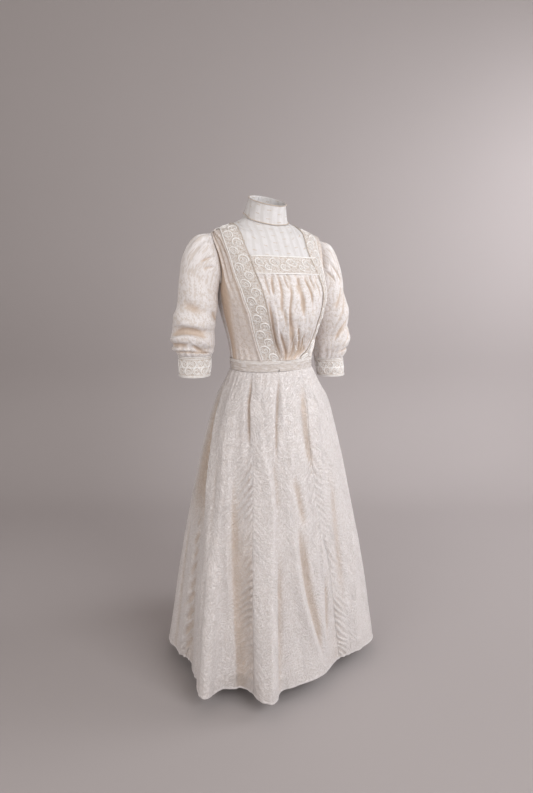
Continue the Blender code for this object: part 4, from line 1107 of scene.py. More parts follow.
def gather_size(turn, along):
    """Uneven gathers round the top of the sleeve's head, and all round above the cuff."""
    bend = np.radians(turn)
    head = smoothstep(0.015, 0.06, along) * (1 - smoothstep(0.08, 0.26, along))
    head = head * smoothstep(-0.25, 0.35, np.cos(bend))
    foot = smoothstep(0.80, 0.95, along) * smoothstep(1.0, 0.985, along)
    uneven = 0.9 * np.sin(3 * bend + 1.0) + 0.6 * np.sin(5 * bend + 2.0)
    strength = 0.75 + 0.25 * np.sin(4 * bend + 0.5)
    size = HEAD_GATHER_HEIGHT * head * strength * np.cos(bend * HEAD_GATHERS + uneven)
    return size + CUFF_GATHER_HEIGHT * foot * np.cos(bend * 2 * CUFF_GATHERS + 1.6 * uneven)


def sleeve_centre(table, along):
    """The middle of a left-hand sleeve at shares along it."""
    return places(table.at("x", along), table.at("y", along), table.at("z", along))


def sleeve_surface(table, crumples, turn, along):
    """Points of a left-hand sleeve. turn is 0 on its outer side, 90 in front and 180 within."""
    turn, along = np.broadcast_arrays(turn, along)
    bend, tilt = np.radians(turn), np.radians(table.at("tilt", along))
    size = crumple_size(crumples, turn, along) + gather_size(turn, along)
    centre = sleeve_centre(table, along)
    across = np.cos(bend) * (table.at("across", along) + size)
    depth = np.sin(bend) * (table.at("depth", along) + size)
    point = centre + places(np.cos(tilt) * across, -depth, np.sin(tilt) * across)
    joined = smoothstep(-0.01, 0.10, along)[..., None]
    point = np.where((along < 0.10)[..., None], mix(sleeve_start(turn), point, joined), point)
    in_front = smoothstep(0.0, 0.03, centre[..., 1] - point[..., 1])
    clear = SLEEVE_CLEARANCE + TUCK_HEIGHT * in_front
    gap = mix(SEAM_GAP, clear, smoothstep(0.0, 0.1, along))
    point[..., 0] = np.maximum(point[..., 0], side_reach(point[..., 1], point[..., 2]) + gap)
    return point


def sleeve_creases(lines, turn, along):
    """The finer creases of a sleeve, which fade out at both ends."""
    return crease_lines(lines, (turn + 120) % 360 - 120, along, SLEEVE_LENGTH, fading=0.38)


def cuff_surface(table, side, turn, down, lift=0.0):
    """Points of a cuff. turn runs round it in radians, and down is 0 at its top edge."""
    centre = sleeve_centre(table, 1.0)
    radius = mix(CUFF_TOP, CUFF_BOTTOM, down) + 0.0012 + lift
    return posed(places(
        side * (centre[0] + CUFF_DROP[0] * down) + np.cos(turn) * radius,
        centre[1] + CUFF_DROP[1] * down + np.sin(turn) * radius,
        centre[2] - SEAM_GAP - CUFF_DEPTH * down,
    ))


class Value:
    """A number inside a finish, which takes Python's arithmetic and adds the nodes for it."""

    def __init__(self, finish, socket):
        self.finish, self.socket = finish, socket

    def maths(self, operation, *others):
        """A node's operation on this number and others."""
        return self.finish.maths(operation, self, *others)

    def __add__(self, other):
        return self.maths("ADD", other)

    def __sub__(self, other):
        return self.maths("SUBTRACT", other)

    def __mul__(self, other):
        return self.maths("MULTIPLY", other)

    def __truediv__(self, other):
        return self.maths("DIVIDE", other)

    def __rsub__(self, other):
        return self.finish.maths("SUBTRACT", other, self)

    def fraction(self):
        """What is over the whole number."""
        return self.maths("FRACT")

    def size(self):
        """The number without its sign."""
        return self.maths("ABSOLUTE")

    def step(self, low, high):
        """0 below low, 1 above high, and a soft step between. low may be above high."""
        settings = {"interpolation_type": "SMOOTHSTEP"}
        inputs = {"Value": self, "From Min": low, "From Max": high}
        return Value(self.finish, self.finish.node("ShaderNodeMapRange", settings, inputs).outputs[0])


class Finish:
    """A cloth's or thread's material while its nodes are laid out."""

    def __init__(self, name, **constants):
        self.material = bpy.data.materials.new(name)
        self.material.use_nodes = True
        self.tree = self.material.node_tree
        self.shader = self.tree.nodes["Principled BSDF"]
        for socket, value in constants.items():
            self.shader.inputs[socket.replace("_", " ")].default_value = value
        self.normal = None

    def node(self, kind, settings=None, inputs=None):
        """A new node with its settings, and its inputs fed by values or other nodes."""
        made = self.tree.nodes.new(kind)
        for name, value in (settings or {}).items():
            setattr(made, name, value)
        for name, value in (inputs or {}).items():
            self.feed(made.inputs[name], value)
        return made

    def feed(self, socket, value):
        """Links a value or a node's output to a socket, or sets it to a constant."""
        if isinstance(value, Value):
            value = value.socket
        if isinstance(value, bpy.types.NodeSocket):
            self.tree.links.new(value, socket)
        else:
            socket.default_value = value

    def maths(self, operation, *values):
        """A node's operation on numbers."""
        made = self.node("ShaderNodeMath", {"operation": operation}, dict(enumerate(values)))
        return Value(self, made.outputs[0])

    def laid(self):
        """The cloth's own map: metres across it and metres up it."""
        found = self.node("ShaderNodeUVMap", {"uv_map": "cloth"})
        parts = self.node("ShaderNodeSeparateXYZ", None, {0: found.outputs[0]})
        self.across, self.up = Value(self, parts.outputs[0]), Value(self, parts.outputs[1])
        return self.across, self.up

    def mark(self, name):
        """A value painted on the cloth."""
        found = self.node("ShaderNodeAttribute", {"attribute_name": name})
        return Value(self, found.outputs["Fac"])

    def vector(self, x, y, z=0.0):
        """A place from its parts."""
        return self.node("ShaderNodeCombineXYZ", None, {0: x, 1: y, 2: z}).outputs[0]

    def body(self, scale):
        """Places in the object's own metres, times scale."""
        found = self.node("ShaderNodeTexCoord").outputs["Object"]
        inputs = {0: found, 1: (scale, scale, scale)}
        return self.node("ShaderNodeVectorMath", {"operation": "MULTIPLY"}, inputs).outputs[0]

    def cloudy(self, vector, detail=2.0, rough=0.5):
        """Uneven patches between 0 and 1."""
        inputs = {"Vector": vector, "Scale": 1.0, "Detail": detail, "Roughness": rough}
        return Value(self, self.node("ShaderNodeTexNoise", None, inputs).outputs["Fac"])

    def patches(self, each_metre, detail=2.0, rough=0.5, away=0.0):
        """Uneven patches on a laid cloth, so many to each metre across it and up it."""
        vector = self.vector(self.across * each_metre[0], self.up * each_metre[1], away)
        return self.cloudy(vector, detail, rough)

    def cells(self, vector, randomness):
        """Scattered points: the distance to the nearest one, and where it is."""
        settings = {"voronoi_dimensions": "2D"}
        inputs = {"Vector": vector, "Scale": 1.0, "Randomness": randomness}
        found = self.node("ShaderNodeTexVoronoi", settings, inputs)
        return Value(self, found.outputs["Distance"]), found.outputs["Position"]

    def between(self, first, second, share):
        """A colour between two."""
        made = self.node("ShaderNodeMix", {"data_type": "RGBA"}, {0: share, 6: first, 7: second})
        return made.outputs[2]

    def relief(self, height, distance):
        """Raises the surface by a height between 0 and 1 times distance."""
        inputs = {"Height": height, "Distance": distance}
        if self.normal:
            inputs["Normal"] = self.normal
        self.normal = self.node("ShaderNodeBump", None, inputs).outputs[0]

    def done(self, colour, roughness):
        """The finished material."""
        self.feed(self.shader.inputs["Base Color"], colour)
        self.feed(self.shader.inputs["Roughness"], roughness)
        if self.normal:
            self.feed(self.shader.inputs["Normal"], self.normal)
        return self.material


def rgba(colour, tint=1.0):
    """A colour made lighter or darker by tint, with its opacity."""
    return (*(min(part * tint, 1.0) for part in colour), 1.0)


SILK_SHEEN = {"Sheen_Weight": 0.2, "Sheen_Roughness": 0.4}
NET_SHEEN = {"Sheen_Weight": 0.15, "Sheen_Roughness": 0.5}


def skirt_silk(colours):
    """Crinkled silk with fine wavy lines that slant to and fro. It has painted shade in its crinkles, creases and
    folds, and painted glints; the hem, turned up double, is painted darker, and its rolled edge gets a painted
    highlight.
    """
    cloth = Finish("skirt_silk", **SILK_SHEEN, Specular_IOR_Level=0.45)
    across, up = cloth.laid()
    sway = cloth.patches((11, 5), 2.0)
    zigzag = ((across / 0.088 + sway * 1.5).fraction() - 0.5).size()
    lane = up / 0.0066 + zigzag * 12.0 + sway * 9.0
    lines = cloth.cloudy(cloth.vector(lane * 1.15, across * 54), 2.0, 0.6).step(0.41, 0.58)
    grain = cloth.patches((210, 160), 2.0, 0.65).step(0.43, 0.57)
    crinkle = cloth.patches((85, 24), 3.0, 0.6)
    weave = cloth.patches((1500, 900), 1.0)
    cloth.relief(crinkle, 0.0028)
    cloth.relief(lines * 0.8 + grain * 0.6, 0.0017)
    cloth.relief(weave, 0.00015)
    # Painted glints: small flecks lighter than the silk, fewer in the painted shade, where the silk is also glossier.
    fleck_glint = cloth.patches((190, 150), 1.0, away=7.0).step(0.59, 0.65)
    # The weave's lines and grain are its own pattern; the crinkle's share of the tone is painted shade, darker where
    # its bump is low.
    tone = lines * 0.40 + grain * 0.38 + crinkle.step(0.35, 0.62) * 0.22
    # Painted shade of the creases, folds, puckers and recesses, in a warm tan.
    deep = cloth.mark("hollow")
    colour = cloth.between(rgba(colours.silk_shade), rgba(colours.silk), tone)
    colour = cloth.between(colour, rgba(colours.hollow), deep * (0.72 - tone * 0.24))
    colour = cloth.between(colour, rgba(colours.silk, 1.11), fleck_glint * (0.90 - deep * 0.7))
    # Painted shade of the hem turned up double.
    colour = cloth.between(colour, rgba(colours.hem), cloth.mark("hem"))
    # Painted highlight on the hem's rolled edge.
    colour = cloth.between(colour, rgba(colours.silk, 1.08), cloth.mark("edge"))
    return cloth.done(colour, 0.54 - fleck_glint * 0.26 - lines * 0.08)


def damask(colours):
    """Silk woven with small scattered flowers on a finely mottled ground."""
    cloth = Finish("damask_silk", **SILK_SHEEN, Specular_IOR_Level=0.42)
    across, up = cloth.laid()
    place = cloth.vector(across * 62, up * 62)
    distance, centre = cloth.cells(place, 0.75)
    offset = cloth.node("ShaderNodeVectorMath", {"operation": "SUBTRACT"}, {0: place, 1: centre})
    parts = cloth.node("ShaderNodeSeparateXYZ", None, {0: offset.outputs[0]})
    turn = cloth.maths("ARCTAN2", Value(cloth, parts.outputs[1]), Value(cloth, parts.outputs[0]))
    petal = (turn * 5).maths("COSINE") * 0.11 + 0.34
    flower = (petal - distance).step(-0.03, 0.05)
    heart = distance.step(0.07, 0.11)
    blotch = cloth.patches((120, 105), 3.0, 0.65)
    grain = cloth.patches((700, 420), 2.0, 0.6)
    leaf = blotch.step(0.46, 0.58)
    figure = cloth.maths("MAXIMUM", flower * heart, leaf * 0.7)
    cloth.relief(blotch, 0.0018)
    cloth.relief(figure, 0.0005)
    cloth.relief(grain, 0.0003)
    tone = figure * 0.42 + blotch * 0.35 + grain * 0.40
    colour = cloth.between(rgba(colours.damask_shade, 0.93), rgba(colours.silk, 0.94), tone.step(0.10, 0.74))
    # Painted shade: the warm tan where the folds, creases and the armhole side are shaded.
    colour = cloth.between(colour, rgba(colours.hollow), cloth.mark("hollow") * 0.80)
    return cloth.done(colour, 0.56 - figure * 0.18 - grain * 0.06)


def plain_silk(colours):
    """Smooth silk with a soft crinkle, for the waistband and the placket."""
    cloth = Finish("plain_silk", **SILK_SHEEN, Specular_IOR_Level=0.42)
    cloth.laid()
    crinkle = cloth.patches((60, 260), 3.0, 0.6)
    grain = cloth.patches((900, 500), 1.0)
    cloth.relief(crinkle, 0.0026)
    cloth.relief(grain, 0.0002)
    pale, dull = rgba(colours.silk, 0.85), rgba(colours.damask_shade, 0.80)
    # The crinkle that raises the bump also darkens the colour where it is low: painted shade in the crinkles.
    colour = cloth.between(dull, pale, crinkle.step(0.34, 0.70))
    return cloth.done(colour, 0.60 - crinkle * 0.15)


def mesh_holes(cloth, across, up, size):
    """A net's mesh of slanting threads: 1 on the threads and 0 in the holes."""
    slanting = ((across + up) / size * math.pi).maths("SINE").size()
    crossing = ((across - up) / size * math.pi).maths("SINE").size()
    return cloth.maths("MINIMUM", slanting, crossing).step(0.55, 0.2)


def striped_net(colours):
    """Sheer net lined with pale silk, woven with faint stripes and small scattered dashes."""
    cloth = Finish("striped_net", **NET_SHEEN)
    across, up = cloth.laid()
    thread = mesh_holes(cloth, across, up, 0.0016)
    sway = cloth.patches((26, 18), 2.0)
    stripe = ((across / 0.026 + sway * 0.15).fraction() - 0.5).size().step(0.26, 0.12)
    lane = across / 0.035 + sway * 0.2
    along = (up / 0.024 + lane.maths("FLOOR") * 0.37 + sway * 0.3).fraction()
    dash = (along - 0.5).size().step(0.075, 0.04) * (lane.fraction() - 0.5).size().step(0.21, 0.15)
    ragged = cloth.patches((330, 500), 1.0).step(0.34, 0.52)
    tone = cloth.patches((50, 50), 3.0)
    colour = cloth.between(rgba(colours.net_shade), rgba(colours.net), tone.step(0.15, 0.60))
    colour = cloth.between(colour, rgba(colours.net_shade), stripe * 0.70)
    colour = cloth.between(colour, rgba(colours.net_shade, 0.92), (1 - thread) * 0.10)
    colour = cloth.between(colour, rgba(colours.cord, 0.95), dash * ragged * 0.80)
    cloth.relief(thread, 0.0002)
    cloth.relief(stripe * 0.4 + dash, 0.0004)
    return cloth.done(colour, 0.62)


def embroidery_ground(colours):
    """Net under the embroidery, closely covered with small stitched dots and tan gaps."""
    cloth = Finish("embroidery_ground", **NET_SHEEN)
    across, up = cloth.laid()
    thread = mesh_holes(cloth, across, up, 0.0014)
    distance, _ = cloth.cells(cloth.vector(across * 190, up * 190), 0.6)
    dot = distance.step(0.46, 0.26)
    patch = cloth.patches((150, 150), 3.0, 0.6).step(0.38, 0.60)
    colour = cloth.between(rgba(colours.band_shade), rgba(colours.band), patch)
    colour = cloth.between(colour, rgba(colours.thread, 0.94), dot * 0.5)
    colour = cloth.between(colour, rgba(colours.band_shade, 0.85), (1 - thread) * 0.2)
    cloth.relief(thread * 0.5, 0.0003)
    cloth.relief(dot, 0.0009)
    return cloth.done(colour, 0.75)


def twisted_thread(name, colour, shade, scale):
    """Matt thread or cord, with the unevenness of its twist."""
    cord = Finish(name, **NET_SHEEN)
    strand = cord.cloudy(cord.body(scale), 3.0, 0.6)
    tone = cord.cloudy(cord.body(scale / 9), 2.0)
    cord.relief(strand, 0.0005)
    # The strand that gives the bump also darkens the colour where it is low: painted shade in the twist.
    mixed = cord.between(rgba(shade), rgba(colour, 1.04), (strand * 0.5 + tone * 0.6).step(0.3, 0.75))
    return cord.done(mixed, 0.52 - strand * 0.1)


def embroidery_thread(colours):
    """Ivory thread of the embroidery and the piping."""
    return twisted_thread("embroidery_thread", colours.thread, colours.thread_shade, 1700)


def cord_finish(colours):
    """Tan cord of the collar and the bands' seams, where it also stands for the shadow beside the proud bands."""
    return twisted_thread("silk_cord", colours.cord, colours.cord_shade, 1100)


def dark_metal(_):
    """Dark metal of the hook, which takes none of the dress's colours."""
    metal = Finish("hook_metal", Metallic=0.9)
    tone = metal.cloudy(metal.body(900), 2.0)
    return metal.done(metal.between((0.02, 0.02, 0.02, 1), (0.07, 0.06, 0.05, 1), tone), 0.5 - tone * 0.2)


def studio_paper(colours):
    """Matt paper of the studio's floor and wall."""
    paper = Finish("studio_paper", Specular_IOR_Level=0.1)
    tone = paper.cloudy(paper.body(0.8), 2.0)
    return paper.done(paper.between(rgba(colours.floor, 0.97), rgba(colours.floor, 1.03), tone), 0.9)


FINISHES = {}


def finish(make):
    """The material that a function makes, made once."""
    if make.__name__ not in FINISHES:
        FINISHES[make.__name__] = make(bpy.context.scene.dress_colours)
    return FINISHES[make.__name__]


def keep(piece, material, node):
    """Puts a finished piece in the scene, on the dress's one body."""
    piece.data.materials.append(material)
    bpy.context.scene.collection.objects.link(piece)
    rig.ride(piece, "root")
    if node:
        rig.replaces(piece, node)


def lay_cloth(node, place, material, thickness, inside=None):
    """A piece of cloth: a grid laid on its outer points, then given its thickness.

    place takes shares across and up the piece, and returns points and a dictionary of painted marks.
    inside gives a point within a closed piece for each of them, from which the outside is told, and
    such a piece's two ends are joined.
    """
    width, length, area, held, hangs_from, columns, rows = CUTS[node]
    mesh = bmesh.new()
    bmesh.ops.create_grid(mesh, x_segments=columns, y_segments=rows, size=0.5)
    data = bpy.data.meshes.new(f"{node}_cloth")
    mesh.to_mesh(data)
    mesh.free()
    flat = np.empty(len(data.vertices) * 3)
    data.vertices.foreach_get("co", flat)
    flat = flat.reshape(-1, 3)
    order = np.lexsort((np.round(flat[:, 0], 5), np.round(flat[:, 1], 5)))
    shape = (rows + 1, columns + 1)
    across, up = (flat[order, axis].reshape(shape) + 0.5 for axis in (0, 1))
    points, marks = place(across, up)
    points = points - ORIGIN
    steps_across = np.linalg.norm(np.diff(points, axis=1), axis=2)
    walked = np.concatenate((np.zeros((rows + 1, 1)), np.cumsum(steps_across, axis=1)), axis=1)
    walked -= walked[:, columns // 2 : columns // 2 + 1]
    middle = points[:, columns // 2]
    risen = np.concatenate(([0.0], np.cumsum(np.linalg.norm(np.diff(middle, axis=0), axis=1))))
    laid = np.stack((walked, np.broadcast_to(risen[:, None], shape)), axis=-1).reshape(-1, 2)
    placed, mapped = np.empty_like(flat), np.empty((len(flat), 2))
    placed[order], mapped[order] = points.reshape(-1, 3), laid
    data.vertices.foreach_set("co", placed.ravel())
    corners = np.empty(len(data.loops), int)
    data.loops.foreach_get("vertex_index", corners)
    data.uv_layers.new(name="cloth").data.foreach_set("uv", mapped[corners].ravel())
    for name, values in marks.items():
        painted = np.empty(len(flat))
        painted[order] = np.broadcast_to(values, shape).ravel()
        data.attributes.new(name, "FLOAT", "POINT").data.foreach_set("value", painted)
    centre = inside(across, up) - ORIGIN if inside else points * (0, 0, 1)
    facing = np.cross(np.gradient(points, axis=1), np.gradient(points, axis=0))
    if np.sum(facing * (points - centre)) < 0:
        data.flip_normals()
    if inside:
        mesh = bmesh.new()
        mesh.from_mesh(data)
        bmesh.ops.remove_doubles(mesh, verts=mesh.verts, dist=0.00001)
        mesh.to_mesh(data)
        mesh.free()
    data.shade_smooth()
    piece = bpy.data.objects.new(data.name, data)
    wall = piece.modifiers.new("thickness", "SOLIDIFY")
    wall.thickness, wall.offset = thickness, -1.0
    keep(piece, material, node)
    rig.sheet(piece, flat=(width, length), held=held, rests_on=[hangs_from], area=area)


def lay_cords(name, routes, radius, material, node=None, sides=1, radii=None):
    """Cords, piping or embroidery threads that follow routes, each a list of points.

    sides sets how round they are, and radii thins or thickens each route's points.
    """
    curve = bpy.data.curves.new(name, "CURVE")
    curve.dimensions = "3D"
    curve.bevel_depth = radius
    curve.bevel_resolution = sides
    curve.use_fill_caps = True
    for index, route in enumerate(routes):
        route = np.asarray(route) - ORIGIN
        closed = bool(np.linalg.norm(route[0] - route[-1]) < 1e-6)
        if closed:
            route = route[:-1]
        line = curve.splines.new("POLY")
        line.points.add(len(route) - 1)
        line.use_cyclic_u = closed
        line.use_smooth = True
        line.points.foreach_set("co", np.column_stack((route, np.ones(len(route)))).ravel())
        if radii is not None:
            line.points.foreach_set("radius", np.asarray(radii[index]))
    keep(bpy.data.objects.new(name, curve), material, node)


# Puckers along the skirt's seams, the long ones and the short ones: their spacing, how uneven that
# is, over what lengths down the seam and away from it, the step of the seed, where they begin, how
# far they reach from the seam, and their height.
SEAM_PUCKERS = (
    (0.027, 0.8, 0.11, 0.09, 0, 0.006, 0.037, 0.0023),
    (0.0115, 1.1, 0.04, 0.05, 3, 0.005, 0.020, 0.0007),
)


def seam_puckers(distance, down, seed, strength):
    """Slanting creases that fan down from a seam, stronger in some places than in others."""
    spread = 0.9 + 0.5 * waves(down / 0.07, 0.5, seed + 1)
    slant = down - 1.35 * distance + 0.010 * waves(down / 0.05, 0.5, seed + 4)
    ridges = 0.0
    for spacing, uneven, tall, wide, step, begin, reach, height in SEAM_PUCKERS:
        place = slant / spacing + uneven * waves(down / tall, distance / wide, seed + step)
        near = smoothstep(0.0, begin, distance) * np.exp(-((distance / (reach * spread)) ** 2))
        ridges = ridges + height * near * np.sin(2 * math.pi * place)
    here = 0.30 + 0.70 * smoothstep(-0.35, 0.5, waves(down / 0.10, 0.5, seed + 2))
    return strength * here * ridges


def gore_cloth(name, first, last, first_pucker, last_pucker, sizes):
    """One gore of the skirt with its seams, puckers, creases and hem, and the marks that paint its shade and the hem's
    highlight.
    """
    rise = WAIST_SEAM - HEM_LEVEL
    hem_top = 1 - HEM_DEPTH / rise

    def place(across, up):
        share = 1 - up
        start, end = SKIRT_SEAMS.at(first, share), SKIRT_SEAMS.at(last, share)
        angle = mix(start, end, across)
        metre = np.radians(1.0) * skirt_radius(share)
        to_first, to_last = (angle - start) * metre, (end - angle) * metre
        down = share * rise
        first_seed = 100 + 10 * SEAM_NAMES.index(first)
        below_hip = smoothstep(0.12, 0.32, share)
        puckers = seam_puckers(to_first, down, first_seed, first_pucker)
        puckers = (puckers + seam_puckers(to_last, down, first_seed + 5, last_pucker)) * below_hip
        in_hem = smoothstep(hem_top, hem_top + 0.004, share)
        held = smoothstep(0.0, 0.05, share)
        turn = (angle % 360) / 360
        soft = 0.0020 * waves(turn * 30, down / 0.30, 7, around=30) * held
        soft = soft + 0.0012 * waves(turn * 60, down / 0.16, 8, around=60) * held
        soft = soft + 0.0006 * waves(turn * 120, down / 0.05, 9, around=60)
        drag = 0.0016 * waves(turn * 90, down / 0.10, 10, around=45) * (1 - smoothstep(0.0, 0.16, share))
        seam = -0.0008 * (crest(to_first, 0.0024, 0.0024) + crest(to_last, 0.0024, 0.0024))
        hem = 0.0006 * in_hem - 0.0009 * crest(share - hem_top, 0.0022, 0.0016)
        hem = hem + 0.0006 * in_hem * waves(turn * 84, down / 0.03, 11, around=42)
        rolled = 0.0010 * crest(share - 0.9965, 0.0022, 0.0022)
        creases = crease_depth(angle, share)
        relief = creases + sizes.pucker * puckers + soft + drag
        relief = relief * smoothstep(0.0, 0.012, share) + seam + hem + rolled
        # Painted shade in the recess under the right sleeve, behind its front edge, fading towards the back.
        shaded = smoothstep(2.0, -3.0, angle - RECESS_EDGE.at("angle", share)) * smoothstep(0.02, 0.12, share)
        shaded = shaded * smoothstep(0.56, 0.36, share) * smoothstep(-122, -97, angle)
        normal = outwards(skirt, angle, share, 0.3, 0.002)
        point = skirt(angle, share) - normal * relief[..., None]
        # Painted shade where creases, puckers and deep folds dip, and in the trough between the front lobes, from its
        # edge to the seam.
        hollow = smoothstep(0.0005, 0.0075, -creases - 0.9 * puckers - 0.12 * fold_depth(angle, share))
        edge = HOLLOW_EDGE.at("angle", share)
        valley_shade = smoothstep(edge - 4.0, edge + 6.0, angle) if last == "front_right" else 0.0
        valley_shade = valley_shade * smoothstep(0.36, 0.60, share) * (1 - in_hem)
        hollow = np.maximum(np.maximum(hollow, 1.3 * shaded), 0.55 * valley_shade + 0.45 * hollow)
        # Painted shade on the hem turned up double: a little darker all round, and darker still in the trough between
        # the front lobes.
        hem_shade = in_hem * (0.08 + 0.55 * crest(angle + 37, 8, 7))
        # The edge mark paints a highlight on the hem's rolled edge.
        return point, {"hollow": hollow, "hem": hem_shade, "edge": smoothstep(0.9925, 0.9950, share)}

    lay_cloth(name, place, finish(skirt_silk), sizes.silk)


def bodice_cloth(node, relief, material, thickness):
    """A bodice panel with its own relief, a function of shares across and up and of the width, which also gives its
    painted shade.
    """
    panel = PANELS[node]

    def place(across, up):
        width = panel.width(up)
        edge = np.minimum(across, 1 - across) * width
        lift, hollow = relief(across, up, width)
        lift = lift - 0.0007 * crest(edge, 0.002, 0.002)
        return panel.point(across, up, lift), {"hollow": hollow}

    lay_cloth(node, place, material, thickness)


def front_relief(seed):
    """A bodice front: a folded edge by the band, a tuck from the shoulder, and painted shade by the armhole, in the
    tuck's trough and over the whole panel.
    """

    def relief(across, up, _):
        leaves = 0.05 + 0.26 * smoothstep(0.50, 0.95, up)
        inner = 0.0046 * crest(across - leaves, 0.045, 0.026) * (1 - 0.6 * smoothstep(0.93, 1.0, up))
        held = smoothstep(0.28, 0.52, up)
        place = 0.50 + 0.21 * smoothstep(0.30, 0.75, up) - 0.10 * smoothstep(0.80, 1.0, up)
        tuck = 0.0058 * held * crest(across - place, 0.060, 0.040) * (1 - 0.8 * smoothstep(0.80, 1, up))
        trough = 0.0026 * held * crest(across - place + 0.11, 0.06, 0.05)
        trough = trough + 0.0024 * crest(across - leaves - 0.09, 0.05, 0.08) * smoothstep(0.10, 0.4, up)
        drag = 0.0014 * waves(across * 5 - up * 2.5, up * 4, seed)
        fine = 0.0006 * waves(across * 16 + up * 3, up * 13, seed + 1)
        low = 0.0012 * np.sin(across * 36 + 3 * waves(across * 3, up * 2, seed + 2))
        rim = off_edges(across, 0.05)
        total = inner + tuck - trough
        # Painted shade: strongest beside the armhole, set in the trough, and a third of it over all the panel.
        border = np.interp(up, (0.10, 0.23, 0.37, 0.49, 0.60, 0.75), (0.84, 0.79, 0.66, 0.70, 0.76, 0.84))
        armhole_shade = smoothstep(border - 0.20, border + 0.10, across) * smoothstep(0.90, 0.72, up)
        hollow = np.maximum(1.4 * armhole_shade, 0.75 * smoothstep(0.0004, 0.0026, trough))
        return total + (drag + fine + low * (1 - smoothstep(0, 0.12, up))) * rim, 0.34 + 0.66 * hollow

    return relief


def back_relief(seed):
    """A bodice back: soft slanting drag, small gathers at the waist, and painted shade in their dips."""

    def relief(across, up, _):
        rim = off_edges(across, 0.06)
        drag = 0.0012 * waves(across * 5 + up * 2, up * 5, seed)
        low = 0.0013 * np.sin(across * 30 + 3 * waves(across * 3, up * 2, seed + 1))
        low = low * (1 - smoothstep(0, 0.2, up))
        return (drag + low) * rim, smoothstep(0.0004, 0.0024, -drag - low)

    return relief


def vest_relief(across, up, width):
    """The vest: uneven gathers at its top, long folds from the waist, a soft pouch, and painted shade in the folds and
    low down.
    """
    rim = 1 - np.abs(2 * across - 1) ** 4
    pouch = 0.0060 * rim * np.sin(math.pi * smoothstep(0, 1, up) ** 0.7)
    folds = 0.88 * crease_lines(VEST_FOLDS, up, across, width)
    small = 0.0010 * waves(across * 9 + 0.6 * up, up * 3, 33) * rim
    small = small + 0.0007 * waves(across * 26, up * 8, 34) + 0.0004 * waves(across * 52, up * 20, 37)
    top = 0.0011 * np.sin(across * 88 + 4 * waves(across * 5, 0.5, 35)) * smoothstep(0.82, 0.97, up)
    low = 0.0012 * np.sin(across * 62 + 4 * waves(across * 4, 0.5, 36)) * smoothstep(0.14, 0.02, up)
    total = pouch + folds + small + top + low + 0.0018 * smoothstep(0.94, 1.0, up)
    total = total * smoothstep(-0.01, 0.03, up) + 0.003 * (1 - smoothstep(0.0, 0.05, up))
    # Painted shade in the folds and gathers, and low on the vest's middle.
    shade = smoothstep(0.0008, 0.0060, -folds) + 0.35 * smoothstep(0.0004, 0.0016, -small - top - low)
    low_shade = 0.7 * smoothstep(0.40, 0.04, up) * smoothstep(0.0, 0.3, 0.5 - np.abs(across - 0.45))
    return total, np.clip(shade + low_shade, 0, 1)


def band_relief(across, *_):
    """The bands lie a little proud, with a corded edge along each side."""
    edges = crest(across - 0.035, 0.018, 0.022) + crest(across - 0.965, 0.022, 0.018)
    return BAND_LIFT + 0.0009 * edges, 0.0


def level_band_relief(across, up, _):
    """The same for the band that lies across the neckline."""
    edges = crest(up - 0.04, 0.02, 0.025) + crest(up - 0.96, 0.025, 0.02)
    return BAND_LIFT + 0.0009 * edges + 0.0004 * waves(across * 9, up * 3, 41), 0.0


def sleeve_cloth(node, side, table, crumples, lines, thickness):
    """A sleeve with its gathers, crumples and creases, and painted shade where they dip."""
    flip = np.array((side, 1, 1))

    def surface(turn, along):
        return sleeve_surface(table, crumples, turn, np.clip(along, 0, 1))

    def place(across, up):
        share, along = across % 1.0, 1 - up
        turn = 360 * share
        point, normal = surface(turn, along), outwards(surface, turn, along, 1.5, 0.004)
        facing = np.sum(normal * (point - sleeve_centre(table, along)), axis=-1, keepdims=True)
        normal = normal * np.where(facing < 0, -1, 1)
        soft = 0.0009 * waves(share * 7, along * 4 + share, 81 + side, around=7)
        soft = soft + 0.0003 * waves(share * 19, along * 9, 84 + side, around=19)
        creases = sleeve_creases(lines, turn, along)
        relief = (soft + creases) * smoothstep(0, 0.1, along) * smoothstep(1, 0.97, along)
        relief = relief * smoothstep(-0.97, -0.75, np.cos(np.radians(turn)))
        # Painted shade where creases and crumples dip.
        hollow = smoothstep(0.0005, 0.006, -creases - 0.5 * crumple_size(crumples, turn, along))
        return posed((point + normal * relief[..., None]) * flip), {"hollow": hollow}

    def inside(_, up):
        return posed(sleeve_centre(table, 1 - up) * flip)

    lay_cloth(node, place, finish(damask), thickness, inside)


def crescent(size, facing, handed):
    """A fat open crescent round a small curl, with loose stitches: points across and up, thicknesses."""
    turns = np.linspace(math.radians(-35), math.radians(205), CURL_POINTS)
    arc = np.stack((np.cos(turns), np.sin(turns)), axis=1) * size
    arc_thick = 0.45 + 0.95 * np.sin(np.linspace(0.1, math.pi - 0.1, CURL_POINTS))
    turns = np.linspace(math.radians(205), math.radians(620), CURL_POINTS)
    radius = np.linspace(0.72, 0.16, CURL_POINTS) * size
    curl = np.stack((np.cos(turns), np.sin(turns)), axis=1) * radius[:, None]
    curl = curl + np.array((0.05, -0.10)) * size
    thin = np.linspace(0.75, 0.55, CURL_POINTS)
    below = np.array(((-0.85, -0.60), (-0.40, -0.92), (0.15, -1.02))) * size
    beside = np.array(((0.62, -0.72), (0.95, -0.50), (1.10, -0.12))) * size
    short = np.array((0.4, 0.85, 0.4))
    strands = ((arc, arc_thick), (curl, thin), (below, short), (beside, short))
    spin = np.array(((math.cos(facing), math.sin(facing)), (-math.sin(facing), math.cos(facing))))
    return [((points * (handed, 1)) @ spin, thick) for points, thick in strands]


